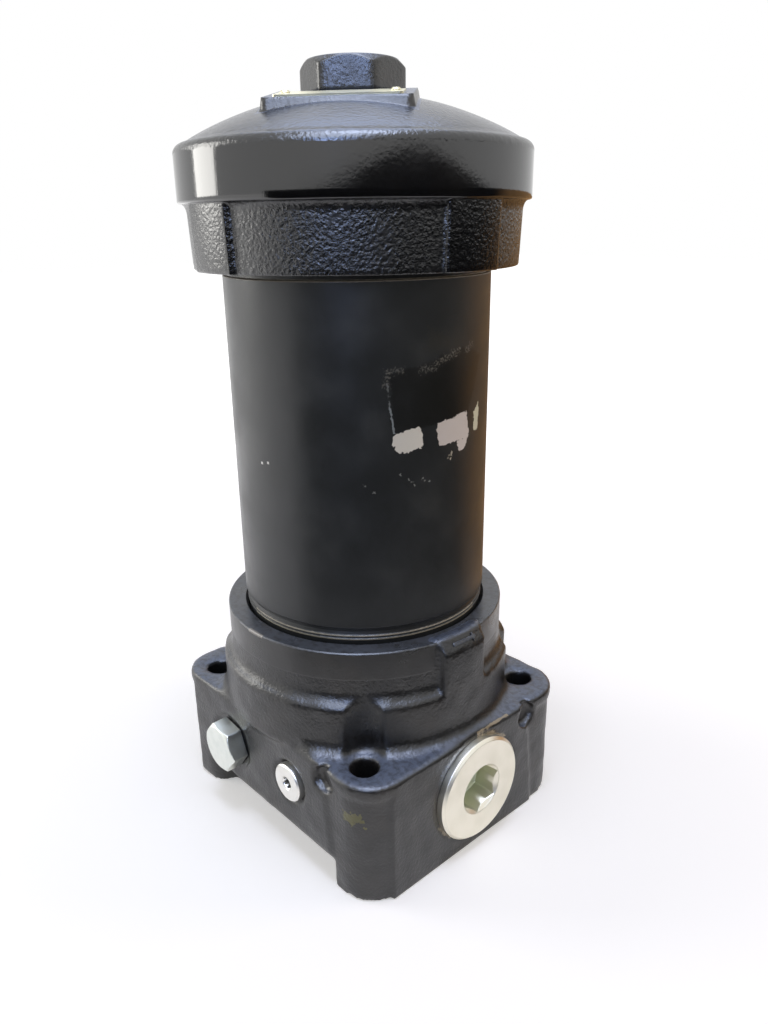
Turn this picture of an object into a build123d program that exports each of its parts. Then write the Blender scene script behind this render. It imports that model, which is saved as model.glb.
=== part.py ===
from build123d import *
import math
import os

# Hydraulic pressure filter in millimetres, +Z up.
# The origin is the centre of the mounting face, on the axis of the bowl.

# Head: flange, corner columns and ears
flange_x = 183.4
flange_y = 160.8
flange_top_z = 72.5
flange_corner_r = 22.0
flange_edge_r = 2.0
bolt_inset_x = 22.3
bolt_inset_y = 17.5
bolt_hole_d = 15.5
bolt_spot_d = 23.0
bolt_spot_depth = 0.8
driver_scallop_d = 26.0
column_setback = 1.2
ear_thickness = 7.0
pad_left_margin = 17.0
pad_left_top_r = 10.0
pad_right_margin_low = 29.0
pad_right_margin_high = 37.0
scoop_d = 15.0
scoop_depth = 5.0
scoop_margin = 36.5
scoop_drop = 8.5
foot_relief_left_in = 26.7
foot_relief_right_in = 22.5
foot_relief_depth = 11.4
foot_relief_height = 17.5
foot_relief_r = 5.0
foot_column_r = 14.2

# Head: drum, shoulder and collar
drum_step = 4.9
drum_h = 29.0
drum_edge_r = 3.0
drum_skirt_drop = 8.0
drum_skirt_in = 6.0
drum_foot_fillet = 6.5
shoulder_rise = 3.8
collar_wall = 11.4
collar_h = 28.8
collar_edge = 0.6
boss_half_angle = 10.3
boss_turn = -1.6
boss_slope_drop = 6.5
boss_slope_rise = 1.2
boss_top_in = 4.0
edge_facet_share = 0.3

# Head: chambers inside
chamber_floor_rise = 1.5
bowl_ledge_h = 11.0
bowl_ledge_w = 11.1
spigot_bore_d = 32.0
gallery_wall = 11.0
inlet_riser_in = 13.0
inlet_riser_d = 24.0
bore_mouth_chamfer = 1.6

# Bowl tube
tube_od = 139.7
tube_wall = 8.85
tube_thread_past_collar = 5.9
tube_relief_h = 2.8
tube_foot_neck_in = 0.85
tube_relief_in = 1.9
tube_relief_taper = 0.4
tube_edge = 0.5
tube_full_length = 173.6
tube_cap_neck_in = 1.8
tube_cap_neck_h = 37.4
tube_end_chamfer = 1.2
head_thread_clear = 0.1
cap_clear = 0.3

# Cap: skirt, lugs, band and dome
skirt_gap = 2.8
skirt_h = 30.9
skirt_wall = 17.75
skirt_draft = 1.3
lug_angle = 22.0
lug_count = 4
lug_recess = 2.6
lug_cove_h = 5.0
cove_middle_in_share = 0.7
cove_middle_drop_share = 0.35
cap_turn_deg = -2.5
band_step = 1.5
band_h = 22.5
dome_edge_in = 4.9
dome_edge_rise = 4.3
dome_edge_bulge = 0.35
dome_middle_in = 28.9
dome_middle_rise = 15.7
dome_flat_in = 58.9
dome_rise = 24.2
cap_roof = 17.0
cap_ledge_w = 8.35
cap_cavity_side_h = 10.0
cavity_knee_share = 0.8
cavity_knee_drop_share = 0.45
cavity_roof_share = 0.4

# Cap: wrench hexagon and tag pad
hex_af = 46.0
hex_neck_h = 1.8
hex_h = 15.4
hex_corner_chamfer = 3.2
hex_face_in = 0.5
hex_neck_d = 44.0
hex_turn_deg = -47.5
nub_d = 5.0
nub_h = 1.4
pad_front_in = 34.9
pad_width = 67.0
pad_shift = -1.0
pad_front_drop = 4.4
pad_depth = 12.0
pad_tilt_deg = 10.5
pad_corner_r = 3.0
tag_length = 58.0
tag_width = 22.0
tag_thickness = 0.8
tag_from_front = 3.5
tag_corner_r = 2.0
rivet_head_d = 4.6
rivet_head_h = 1.1
rivet_head_chamfer = 0.66
rivet_shank_d = 2.6
rivet_shank_h = 4.0
rivet_spacing = 50.0

# Seals of the bowl
o_ring_d = 3.4
o_ring_squeeze = 0.3
backup_h = 1.5
groove_end_gap = 0.2
bowl_seal_up = 7.0
cap_seal_down = 9.0

# Large port plugs
port_z = 38.4
port_bore_d = 40.0
port_thread_d = 47.6
port_thread_len = 20.0
port_neck_in = 0.8
spot_face_gap = 2.7
spot_face_depth = 1.0
thread_runout = 2.0
plug_head_d = 61.4
plug_head_h = 5.4
plug_head_chamfer = 1.6
plug_socket_af = 25.4
plug_socket_depth = 15.0
plug_socket_turn = 19.6
plug_seal_d = 2.6
plug_seal_gap = 0.1

# Small plugs in the left face
side_gallery_d = 10.0
side_gallery_end_y = -15.0
indicator_x = -33.0
indicator_rise = 4.1
indicator_thread_d = 21.0
indicator_thread_len = 16.0
indicator_spot_d = 37.3
indicator_spot_depth = 2.0
indicator_washer_d = 26.4
indicator_washer_h = 1.0
indicator_hex_af = 27.0
indicator_hex_h = 10.5
indicator_hex_chamfer = 1.6
indicator_hex_turn = -7.3
vent_x = 25.4
vent_rise = 8.1
vent_thread_d = 18.6
vent_thread_len = 14.0
vent_spot_d = 25.8
vent_spot_depth = 3.0
vent_head_d = 22.0
vent_head_h = 4.8
vent_head_chamfer = 0.8
vent_socket_af = 6.4
vent_socket_depth = 7.0
vent_seal_d = 1.5

# Element spigot
spigot_flange_d = 48.0
spigot_flange_h = 4.0
spigot_seat_d = 42.0
spigot_post_d = 35.0
spigot_post_h = 20.0
spigot_thread_len = 8.0
spigot_hole_d = 24.0
spigot_chamfer = 2.0

# Bypass valve
bypass_in = 15.0
bypass_flange_d = 26.0
bypass_flange_h = 3.0
bypass_body_d = 20.0
bypass_body_wall = 1.8
bypass_length = 36.0
bypass_floor_h = 2.0
bypass_window_up = 3.0
bypass_window_w = 6.0
bypass_window_h = 12.0
bypass_seat_h = 11.0
bypass_seat_bore_d = 12.0
bypass_poppet_d = 14.5
bypass_poppet_h = 2.6
bypass_nose_h = 2.4
bypass_nose_in = 1.44
bypass_seat_gap = 0.3
bypass_stem_d = 4.0
bypass_stem_past = 1.0
bypass_guide_gap = 0.1
bypass_wire_d = 1.3
bypass_spring_d = 9.0
bypass_spring_gap = 0.1
bypass_coils = 5

# Filter element
element_lift = 14.0
element_headroom = 12.0
oil_gap = 11.0
end_plate_h = 2.5
end_rim_h = 8.0
end_rim_wall = 1.2
core_r = 27.0
core_wall = 1.5
core_hole_d = 8.0
core_hole_rows = 6
core_holes_round = 6
core_hole_margin = 30.0
wrap_wall = 0.8
wrap_gap = 0.4
pleat_count = 40
pleat_gap = 0.6
pleat_fold_in = 5.5
hub_wall = 5.5
hub_h = 14.0
hub_gap = 0.1
element_seal_d = 2.4
ear_spacing = 61.0
ear_w = 3.0
ear_l = 11.0
bail_wire_d = 3.2
bail_half_width = 26.0
bail_reach = 30.0
bail_bend_r = 3.5
bail_pin_past_ear = 1.0
bail_rest_gap = 0.3
bail_hole_gap = 0.05

# How far a cut runs past the face it goes through, and how deep a joined piece starts
cut_over = 1.0

# Sizes worked out from those above
half_x = flange_x / 2
half_y = flange_y / 2
bolt_x = half_x - bolt_inset_x
bolt_y = half_y - bolt_inset_y
foot_relief_low_x = foot_relief_left_in - half_x
foot_relief_high_x = half_x - foot_relief_right_in
tube_r = tube_od / 2
tube_inner_r = tube_r - tube_wall
foot_neck_r = tube_r - tube_foot_neck_in
cap_neck_r = tube_r - tube_cap_neck_in
head_bore_r = foot_neck_r + head_thread_clear
cap_bore_r = cap_neck_r + cap_clear
collar_r = head_bore_r + collar_wall
drum_r = collar_r + drum_step
chamber_r = head_bore_r - bowl_ledge_w
cap_cavity_r = cap_bore_r - cap_ledge_w
skirt_r_low = cap_bore_r + skirt_wall
skirt_r_high = skirt_r_low + skirt_draft
band_r = skirt_r_high + band_step
dome_middle_r = band_r - dome_middle_in
dome_flat_r = band_r - dome_flat_in
pad_front = band_r - pad_front_in
nub_tip_d = nub_d / 3
seal_room = o_ring_d - o_ring_squeeze
chamber_floor_z = flange_top_z + chamber_floor_rise
drum_top_z = flange_top_z + drum_h
collar_top_z = drum_top_z + collar_h
tube_foot_z = chamber_floor_z + bowl_ledge_h
bowl_seal_z = tube_foot_z + bowl_seal_up
tube_thread_top_z = collar_top_z + tube_thread_past_collar
tube_shoulder_z = tube_thread_top_z + tube_relief_h
tube_cap_shoulder_z = tube_shoulder_z + tube_full_length
tube_top_z = tube_cap_shoulder_z + tube_cap_neck_h
cap_seal_z = tube_top_z - cap_seal_down
skirt_z = tube_cap_shoulder_z + skirt_gap
band_z = skirt_z + skirt_h
band_top_z = band_z + band_h
dome_top_z = band_top_z + dome_rise
hex_base_z = dome_top_z + hex_neck_h
pad_front_z = dome_top_z - pad_front_drop
element_base_z = chamber_floor_z + element_lift
element_top_z = tube_top_z - element_headroom
element_r = tube_inner_r - oil_gap
bail_z = element_top_z + bail_rest_gap + bail_wire_d / 2
head_split_z = flange_top_z + drum_foot_fillet
bypass_x = chamber_r - bypass_in
bypass_floor_z = chamber_floor_z - bypass_length
bypass_top_z = chamber_floor_z + bypass_flange_h
bypass_seat_z = bypass_top_z - bypass_seat_h
spot_face_d = plug_head_d + 2 * spot_face_gap
port_mouth_x = half_x - spot_face_depth
outlet_end_x = -spigot_bore_d / 2
inlet_end_x = outlet_end_x - gallery_wall
inlet_riser_x = inlet_riser_in - chamber_r
indicator_z = port_z + indicator_rise
vent_z = port_z + vent_rise
bolt_places = [(i * bolt_x, j * bolt_y) for i in (-1, 1) for j in (-1, 1)]
# Turn of each side face, with half its length and its distance from the axis
side_faces = [(0, half_x, half_y), (90, half_y, half_x), (180, half_x, half_y), (270, half_y, half_x)]


def post(radius, low, high, x=0.0, y=0.0):
    return Pos(x, y, (low + high) / 2) * Cylinder(radius, high - low)


def pipe(outer, inner, low, high, x=0.0, y=0.0):
    return post(outer, low, high, x, y) - post(inner, low - cut_over, high + cut_over, x, y)


def spun(points):
    """Solid of revolution about Z from (radius, height) points."""
    return revolve(Plane.XZ * make_face(Polyline(*points, close=True)), Axis.Z)


def hexagon(across_flats, height):
    return extrude(RegularPolygon(across_flats / 2, 6, major_radius=False), height)


def chamfered_disc(radius, height, chamfer):
    return spun([(0, 0), (radius, 0), (radius, height - chamfer), (radius - chamfer, height), (0, height)])


def hex_with_chamfer(across_flats, height, chamfer):
    """Hexagon whose top corners are turned down to a cone."""
    corner_r = across_flats / math.sqrt(3)
    flat_r = across_flats / 2 - hex_face_in
    side_r = corner_r + cut_over
    cone = spun([(0, 0), (side_r, 0), (side_r, height - chamfer), (flat_r, height), (0, height)])
    return hexagon(across_flats, height) & cone


# Head casting
def flange_block(inset, low, high):
    plan = RectangleRounded(flange_x - 2 * inset, flange_y - 2 * inset, flange_corner_r - inset)
    return Pos(0, 0, low) * extrude(plan, high - low)


def port_pad(half_width, distance):
    """Flat pad that stands proud of the columns, on the face at -Y."""
    left = -half_width + pad_left_margin
    top = flange_top_z - flange_edge_r
    outline = Polyline(
        (left, 0),
        (half_width - pad_right_margin_low, 0),
        (half_width - pad_right_margin_high, top),
        (left, top),
        close=True,
    )
    pad = make_face(outline)
    pad = fillet(pad.vertices().sort_by_distance((left, top, 0))[0], pad_left_top_r)
    return Pos(0, -distance + 3 * column_setback, 0) * extrude(Plane.XZ * pad, 3 * column_setback)


def pad_scoop(half_width, distance):
    """Round pocket under the ear, at the pad's upper right corner."""
    place = Pos(half_width - scoop_margin, -distance, flange_top_z - scoop_drop)
    return place * Rot(90, 0, 0) * Cylinder(scoop_d / 2, 2 * scoop_depth)


def port_boss():
    """Raised block on the collar over a port, its top sloped to carry a flow mark."""
    inner_r = collar_r - boss_top_in
    block = spun(
        [
            (inner_r, drum_top_z - drum_edge_r),
            (drum_r, drum_top_z - drum_edge_r),
            (drum_r, collar_top_z - boss_slope_drop),
            (collar_r, collar_top_z + boss_slope_rise),
            (inner_r, collar_top_z + boss_slope_rise),
        ]
    )
    half_width = drum_r * math.sin(math.radians(boss_half_angle))
    slab = Pos(drum_r, 0, collar_top_z) * Box(drum_r, 2 * half_width, collar_top_z)
    return Rot(0, 0, boss_turn) * (block & slab)


def drum_and_collar():
    skirt_foot_z = flange_top_z - drum_skirt_drop
    edge = drum_edge_r * edge_facet_share
    return spun(
        [
            (0, skirt_foot_z),
            (drum_r - drum_skirt_in, skirt_foot_z),
            (drum_r, flange_top_z),
            (drum_r, drum_top_z - drum_edge_r),
            (drum_r - edge, drum_top_z - edge),
            (drum_r - drum_edge_r, drum_top_z),
            (collar_r, drum_top_z + shoulder_rise),
            (collar_r, collar_top_z - collar_edge),
            (collar_r - collar_edge, collar_top_z),
            (0, collar_top_z),
        ]
    )


def drum_foot():
    """Cast fillet where the drum meets the top of the flange."""
    reach = drum_foot_fillet
    ring = spun(
        [
            (0, flange_top_z - cut_over),
            (drum_r + reach, flange_top_z - cut_over),
            (drum_r + reach, flange_top_z),
            (drum_r + reach * edge_facet_share, flange_top_z + reach * edge_facet_share),
            (drum_r, flange_top_z + reach),
            (0, flange_top_z + reach),
        ]
    )
    return ring & flange_block(flange_edge_r, 0, flange_top_z + reach + cut_over)


def head_outside():
    ears = flange_block(0, flange_top_z - ear_thickness, flange_top_z)
    ears = fillet(ears.edges().group_by(Axis.Z)[-1], flange_edge_r)
    body = flange_block(column_setback, 0, flange_top_z - cut_over) + ears
    for turn, half_width, distance in side_faces:
        body += Rot(0, 0, turn) * port_pad(half_width, distance)
    body += drum_and_collar()
    body += drum_foot()
    body += port_boss()
    body += Rot(0, 0, 180) * port_boss()
    return body


def foot_relief():
    """Long notch under a pad, between two columns with rounded plans, on the face at -Y."""
    length = foot_relief_high_x - foot_relief_low_x
    notch = Box(length, 2 * foot_relief_depth, 2 * foot_relief_height)
    inner = notch.edges().filter_by(Axis.X).filter_by_position(Axis.Y, 0, foot_relief_depth + cut_over)
    notch = fillet(inner.sort_by(Axis.Z)[-1], foot_relief_r)
    notch = Pos((foot_relief_low_x + foot_relief_high_x) / 2, -half_y, 0) * notch
    column_y = -half_y + foot_column_r
    for x in (foot_relief_low_x, foot_relief_high_x):
        notch -= post(foot_column_r, -foot_relief_height - cut_over, foot_relief_height + cut_over, x, column_y)
    return notch


def port_opening(end_x):
    """Bore, thread, seal recess and spot face of a large port, along +X."""
    lay = Pos(0, 0, port_z) * Rot(0, 90, 0)
    thread_r = port_thread_d / 2 + head_thread_clear
    seal_r = port_thread_d / 2 - port_neck_in + plug_seal_d + 2 * plug_seal_gap
    bore = post(port_bore_d / 2, end_x, half_x)
    thread = post(thread_r, port_mouth_x - port_thread_len - thread_runout, half_x)
    recess = post(seal_r, port_mouth_x - plug_seal_d - plug_seal_gap, half_x)
    spot = post(spot_face_d / 2, port_mouth_x, half_x + cut_over)
    return lay * (bore + thread + recess + spot)


def side_opening(x, z, thread_d, thread_len, spot_d, spot_depth, seal_r, seal_h):
    """Small threaded port in the face at -Y, with its gallery to the port bore."""
    mouth_y = -half_y + spot_depth
    lay = Pos(x, mouth_y, z) * Rot(90, 0, 0)
    spot = post(spot_d / 2, 0, spot_depth + cut_over)
    thread = post(thread_d / 2 + head_thread_clear, -thread_len - thread_runout, cut_over)
    recess = post(seal_r, -seal_h, cut_over)
    gallery = post(side_gallery_d / 2, mouth_y - side_gallery_end_y, cut_over)
    return lay * (spot + thread + recess + gallery)


def bowl_chamber():
    mouth = bore_mouth_chamfer
    above_z = collar_top_z + boss_slope_rise + cut_over
    return spun(
        [
            (0, chamber_floor_z),
            (chamber_r, chamber_floor_z),
            (chamber_r, tube_foot_z),
            (head_bore_r, tube_foot_z),
            (head_bore_r, collar_top_z - mouth),
            (head_bore_r + mouth, collar_top_z),
            (head_bore_r + mouth, above_z),
            (0, above_z),
        ]
    )


def whole_head():
    body = head_outside()
    for turn, half_width, distance in side_faces:
        body -= Rot(0, 0, turn) * pad_scoop(half_width, distance)
    body -= foot_relief()
    body -= Rot(0, 0, 180) * foot_relief()
    for x, y in bolt_places:
        body -= post(bolt_hole_d / 2, -cut_over, flange_top_z + cut_over, x, y)
        body -= post(bolt_spot_d / 2, flange_top_z - bolt_spot_depth, flange_top_z + cut_over, x, y)
        body -= post(driver_scallop_d / 2, flange_top_z, collar_top_z + boss_slope_rise + cut_over, x, y)
    body -= bowl_chamber()
    body -= port_opening(outlet_end_x)
    body -= Rot(0, 0, 180) * port_opening(-inlet_end_x)
    body -= post(spigot_bore_d / 2, port_z, chamber_floor_z + cut_over)
    body -= post(inlet_riser_d / 2, port_z, chamber_floor_z + cut_over, inlet_riser_x)
    body -= post(bypass_body_d / 2, port_z, chamber_floor_z + cut_over, bypass_x)
    body -= side_opening(
        indicator_x,
        indicator_z,
        indicator_thread_d,
        indicator_thread_len,
        indicator_spot_d,
        indicator_spot_depth,
        indicator_thread_d / 2 + head_thread_clear,
        0,
    )
    body -= side_opening(
        vent_x,
        vent_z,
        vent_thread_d,
        vent_thread_len,
        vent_spot_d,
        vent_spot_depth,
        vent_seal_outer_r() + plug_seal_gap,
        vent_seal_d + plug_seal_gap,
    )
    return body


def between(body, low, high):
    """The part of a body between two heights."""
    room = Pos(0, 0, (low + high) / 2) * Box(2 * flange_x, 2 * flange_y, high - low)
    return body & room


# Bowl tube and its seals
def groove(wall_r, floor_r, middle_z):
    """Seal groove as profile points going up a wall."""
    half_h = (o_ring_d + backup_h) / 2 + groove_end_gap
    low = middle_z - half_h
    high = middle_z + half_h
    return [(wall_r, low), (floor_r, low), (floor_r, high), (wall_r, high)]


def bowl_tube():
    relief_r = tube_r - tube_relief_in
    taper = tube_relief_taper
    profile = [
        (tube_inner_r, tube_foot_z),
        (foot_neck_r - tube_end_chamfer, tube_foot_z),
        (foot_neck_r, tube_foot_z + tube_end_chamfer),
    ]
    profile += groove(foot_neck_r, foot_neck_r - seal_room, bowl_seal_z)
    profile += [
        (foot_neck_r, tube_thread_top_z),
        (relief_r, tube_thread_top_z + taper),
        (relief_r, tube_shoulder_z - taper),
        (tube_r - tube_edge, tube_shoulder_z),
        (tube_r, tube_shoulder_z + tube_edge),
        (tube_r, tube_cap_shoulder_z - tube_edge),
        (tube_r - tube_edge, tube_cap_shoulder_z),
        (cap_neck_r, tube_cap_shoulder_z),
    ]
    profile += [
        (cap_neck_r, tube_top_z - tube_end_chamfer),
        (cap_neck_r - tube_end_chamfer, tube_top_z),
        (tube_inner_r, tube_top_z),
    ]
    return spun(profile)


def seal_o_ring(inner_r, middle_z):
    low = middle_z - (o_ring_d + backup_h) / 2
    return Pos(0, 0, low + seal_room / 2) * Torus(inner_r + seal_room / 2, seal_room / 2)


def seal_backup_ring(inner_r, middle_z):
    high = middle_z + (o_ring_d + backup_h) / 2
    return pipe(inner_r + seal_room, inner_r, high - backup_h, high)


# Cap casting
def cap_outside():
    edge_r = band_r - dome_edge_in
    edge_z = band_top_z + dome_edge_rise
    bulge_r = (band_r + edge_r) / 2 + dome_edge_bulge
    bulge_z = (band_top_z + edge_z) / 2 + dome_edge_bulge
    dome_middle = (dome_middle_r, band_top_z + dome_middle_rise)
    outline = [
        Line((0, band_z), (band_r, band_z)),
        Line((band_r, band_z), (band_r, band_top_z)),
        ThreePointArc((band_r, band_top_z), (bulge_r, bulge_z), (edge_r, edge_z)),
        ThreePointArc((edge_r, edge_z), dome_middle, (dome_flat_r, dome_top_z)),
        Line((dome_flat_r, dome_top_z), (0, dome_top_z)),
        Line((0, dome_top_z), (0, band_z)),
    ]
    return revolve(Plane.XZ * make_face(outline), Axis.Z)


def cap_skirt():
    """Drafted skirt, hollowed between its lugs under a cove."""
    skirt = spun([(0, skirt_z), (skirt_r_low, skirt_z), (skirt_r_high, band_z), (0, band_z)])
    cove_low = band_z - lug_cove_h
    recess = spun(
        [
            (skirt_r_low - lug_recess, skirt_z - cut_over),
            (band_r + cut_over, skirt_z - cut_over),
            (band_r + cut_over, band_z),
            (skirt_r_high, band_z),
            (skirt_r_high - lug_recess * cove_middle_in_share, band_z - lug_cove_h * cove_middle_drop_share),
            (skirt_r_high - lug_recess, cove_low),
        ]
    )
    lug_width = 2 * band_r * math.sin(math.radians(lug_angle / 2))
    for index in range(lug_count):
        lug = Pos(band_r, 0, band_z) * Box(band_r, lug_width, 3 * skirt_h)
        recess -= Rot(0, 0, cap_turn_deg + index * 360 / lug_count) * lug
    return skirt - recess


def pad_plane():
    """Face of the tag pad: X across, Y up its slope from the front edge, turned to the hexagon."""
    tilt = math.radians(pad_tilt_deg)
    normal = (0, -math.sin(tilt), math.cos(tilt))
    front = Plane(origin=(0, -pad_front, pad_front_z), x_dir=(1, 0, 0), z_dir=normal)
    return Plane(Rot(0, 0, hex_turn_deg + 90) * front.location)


def tag_pad():
    reach = pad_front - hex_neck_d / 4
    outline = Pos(pad_shift, reach / 2) * RectangleRounded(pad_width, reach, pad_corner_r)
    return extrude(pad_plane() * outline, -pad_depth)


def tag_centre_y():
    return tag_from_front + tag_width / 2


def rivet_places():
    return [(pad_shift + side * rivet_spacing / 2, tag_centre_y()) for side in (-1, 1)]


def wrench_hex():
    hexagon_solid = hex_with_chamfer(hex_af, hex_h, hex_corner_chamfer)
    nub = Pos(0, 0, hex_h + nub_h / 2) * Cone(nub_d / 2, nub_tip_d / 2, nub_h)
    return Pos(0, 0, hex_base_z) * Rot(0, 0, hex_turn_deg + 30) * (hexagon_solid + nub)


def cap_cavity():
    """Room over the element and the threaded bore below it, with its seal groove."""
    roof_z = dome_top_z - cap_roof
    seat_z = tube_top_z + cap_clear
    side_top_z = seat_z + cap_cavity_side_h
    profile = [(0, skirt_z - cut_over), (cap_bore_r, skirt_z - cut_over)]
    profile += groove(cap_bore_r, cap_bore_r + seal_room + cap_clear, cap_seal_z)
    profile += [
        (cap_bore_r, seat_z),
        (cap_cavity_r, seat_z),
        (cap_cavity_r, side_top_z),
        (cap_cavity_r * cavity_knee_share, roof_z - (roof_z - side_top_z) * cavity_knee_drop_share),
        (cap_cavity_r * cavity_roof_share, roof_z),
        (0, roof_z),
    ]
    return spun(profile)


def cap_casting():
    body = cap_outside() + cap_skirt() + tag_pad()
    body += post(hex_neck_d / 2, dome_top_z - pad_depth / 2, hex_base_z)
    body += wrench_hex()
    body -= cap_cavity()
    for x, y in rivet_places():
        body -= extrude(pad_plane() * Pos(x, y) * Circle(rivet_shank_d / 2), -rivet_shank_h)
    return body


def tag_plate():
    sketch = Pos(pad_shift, tag_centre_y()) * RectangleRounded(tag_length, tag_width, tag_corner_r)
    for x, y in rivet_places():
        sketch -= Pos(x, y) * Circle(rivet_shank_d / 2)
    return extrude(pad_plane() * sketch, tag_thickness)


def tag_rivets():
    solids = []
    for x, y in rivet_places():
        shank = Pos(x, y, -rivet_shank_h) * extrude(Circle(rivet_shank_d / 2), rivet_shank_h + tag_thickness)
        head = Pos(x, y, tag_thickness) * chamfered_disc(rivet_head_d / 2, rivet_head_h, rivet_head_chamfer)
        solids.append(pad_plane().location * (shank + head))
    return Compound(children=solids)


# Port plugs and their seals
def large_plug():
    """Socket plug with its head at Z from 0 up and its thread below."""
    neck_r = port_thread_d / 2 - port_neck_in
    seal_h = plug_seal_d + 2 * plug_seal_gap
    plug = chamfered_disc(plug_head_d / 2, plug_head_h, plug_head_chamfer)
    plug += post(neck_r, -seal_h, 0)
    plug += post(port_thread_d / 2, -port_thread_len, -seal_h)
    socket_z = plug_head_h - plug_socket_depth
    socket = Pos(0, 0, socket_z) * hexagon(plug_socket_af, plug_socket_depth + cut_over)
    socket = Rot(0, 0, plug_socket_turn) * socket
    corner_r = plug_socket_af / math.sqrt(3)
    flat_r = plug_socket_af / 2
    mouth = spun(
        [
            (0, plug_head_h + flat_r - corner_r),
            (flat_r, plug_head_h + flat_r - corner_r),
            (corner_r, plug_head_h),
            (corner_r, plug_head_h + cut_over),
            (0, plug_head_h + cut_over),
        ]
    )
    return plug - socket - mouth


def plug_o_ring():
    centre_r = port_thread_d / 2 - port_neck_in + plug_seal_gap + plug_seal_d / 2
    return Pos(0, 0, -plug_seal_d / 2) * Torus(centre_r, plug_seal_d / 2)


def at_large_port(turn):
    return Rot(0, 0, turn) * Pos(port_mouth_x, 0, port_z) * Rot(0, 90, 0)


def at_side_port(x, z, spot_depth):
    return Pos(x, -half_y + spot_depth, z) * Rot(90, 0, 0)


def at_indicator_port():
    return at_side_port(indicator_x, indicator_z, indicator_spot_depth)


def at_vent_port():
    return at_side_port(vent_x, vent_z, vent_spot_depth)


def indicator_plug():
    seat = indicator_washer_h
    thread = post(indicator_thread_d / 2, -indicator_thread_len, seat)
    head = hex_with_chamfer(indicator_hex_af, indicator_hex_h, indicator_hex_chamfer)
    return thread + Pos(0, 0, seat) * Rot(0, 0, indicator_hex_turn) * head


def indicator_seal():
    inner_r = indicator_thread_d / 2 + plug_seal_gap
    return pipe(indicator_washer_d / 2, inner_r, 0, indicator_washer_h)


def vent_neck_r():
    return vent_thread_d / 2 - port_neck_in


def vent_seal_outer_r():
    return vent_neck_r() + plug_seal_gap + vent_seal_d


def small_plug():
    seal_h = vent_seal_d + plug_seal_gap
    plug = chamfered_disc(vent_head_d / 2, vent_head_h, vent_head_chamfer)
    plug += post(vent_neck_r(), -seal_h, 0)
    plug += post(vent_thread_d / 2, -vent_thread_len, -seal_h)
    socket_z = vent_head_h - vent_socket_depth
    return plug - Pos(0, 0, socket_z) * hexagon(vent_socket_af, vent_socket_depth + cut_over)


def vent_o_ring():
    centre_r = vent_neck_r() + plug_seal_gap + vent_seal_d / 2
    return Pos(0, 0, -vent_seal_d / 2) * Torus(centre_r, vent_seal_d / 2)


# Element spigot and bypass valve
def element_spigot():
    floor = chamber_floor_z
    flange_top = floor + spigot_flange_h
    top = element_base_z + spigot_post_h
    post_r = spigot_post_d / 2
    thread_r = spigot_bore_d / 2 - head_thread_clear
    hole_r = spigot_hole_d / 2
    return spun(
        [
            (hole_r, floor - spigot_thread_len),
            (thread_r, floor - spigot_thread_len),
            (thread_r, floor),
            (spigot_flange_d / 2, floor),
            (spigot_flange_d / 2, flange_top),
            (spigot_seat_d / 2, flange_top),
            (spigot_seat_d / 2, element_base_z),
            (post_r, element_base_z),
            (post_r, top - spigot_chamfer),
            (post_r - spigot_chamfer, top),
            (hole_r, top),
        ]
    )


def at_bypass(z=0.0):
    return Pos(bypass_x, 0, z)


def bypass_cage():
    outer_r = bypass_body_d / 2 - head_thread_clear
    inner_r = bypass_body_d / 2 - bypass_body_wall
    body = post(outer_r, bypass_floor_z, chamber_floor_z)
    body += post(bypass_flange_d / 2, chamber_floor_z, bypass_top_z)
    inside_z = bypass_floor_z + bypass_floor_h
    body -= post(inner_r, inside_z, bypass_top_z + cut_over)
    body -= post(bypass_stem_d / 2 + bypass_guide_gap, bypass_floor_z - cut_over, inside_z + cut_over)
    window_z = inside_z + bypass_window_up + bypass_window_h / 2
    for turn in (0, 90):
        window = Box(2 * bypass_body_d, bypass_window_w, bypass_window_h)
        body -= Rot(0, 0, turn) * Pos(0, 0, window_z) * window
    return at_bypass() * body


def bypass_seat():
    outer_r = bypass_body_d / 2 - bypass_body_wall
    return at_bypass() * pipe(outer_r, bypass_seat_bore_d / 2, bypass_seat_z, bypass_top_z)


def bypass_poppet():
    disc_top = bypass_seat_z - bypass_seat_gap
    disc_low = disc_top - bypass_poppet_h
    nose_r = bypass_seat_bore_d / 2 - bypass_seat_gap
    stem_r = bypass_stem_d / 2
    stem_end_z = bypass_floor_z - bypass_stem_past
    return at_bypass() * spun(
        [
            (0, stem_end_z),
            (stem_r, stem_end_z),
            (stem_r, disc_low),
            (bypass_poppet_d / 2, disc_low),
            (bypass_poppet_d / 2, disc_top),
            (nose_r, disc_top),
            (nose_r - bypass_nose_in, disc_top + bypass_nose_h),
            (0, disc_top + bypass_nose_h),
        ]
    )


def bypass_spring():
    end_room = bypass_wire_d / 2 + bypass_spring_gap
    low = bypass_floor_z + bypass_floor_h + end_room
    high = bypass_seat_z - bypass_seat_gap - bypass_poppet_h - end_room
    pitch = (high - low) / bypass_coils
    path = Helix(pitch, high - low, bypass_spring_d / 2)
    start = Plane(origin=path @ 0, z_dir=path % 0)
    coil = sweep(start * Circle(bypass_wire_d / 2), path)
    return at_bypass(low) * coil


# Filter element
def element_cap(inner_r):
    """End cap with its plate at Z from 0 up and its rim above."""
    rim_inner = element_r - end_rim_wall
    profile = [
        (inner_r, 0),
        (element_r, 0),
        (element_r, end_rim_h),
        (rim_inner, end_rim_h),
        (rim_inner, end_plate_h),
        (inner_r, end_plate_h),
    ]
    return spun(profile)


def hub_bore_r():
    return spigot_post_d / 2 + hub_gap


def hub_seal_z():
    return hub_h - 2 * element_seal_d


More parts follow.
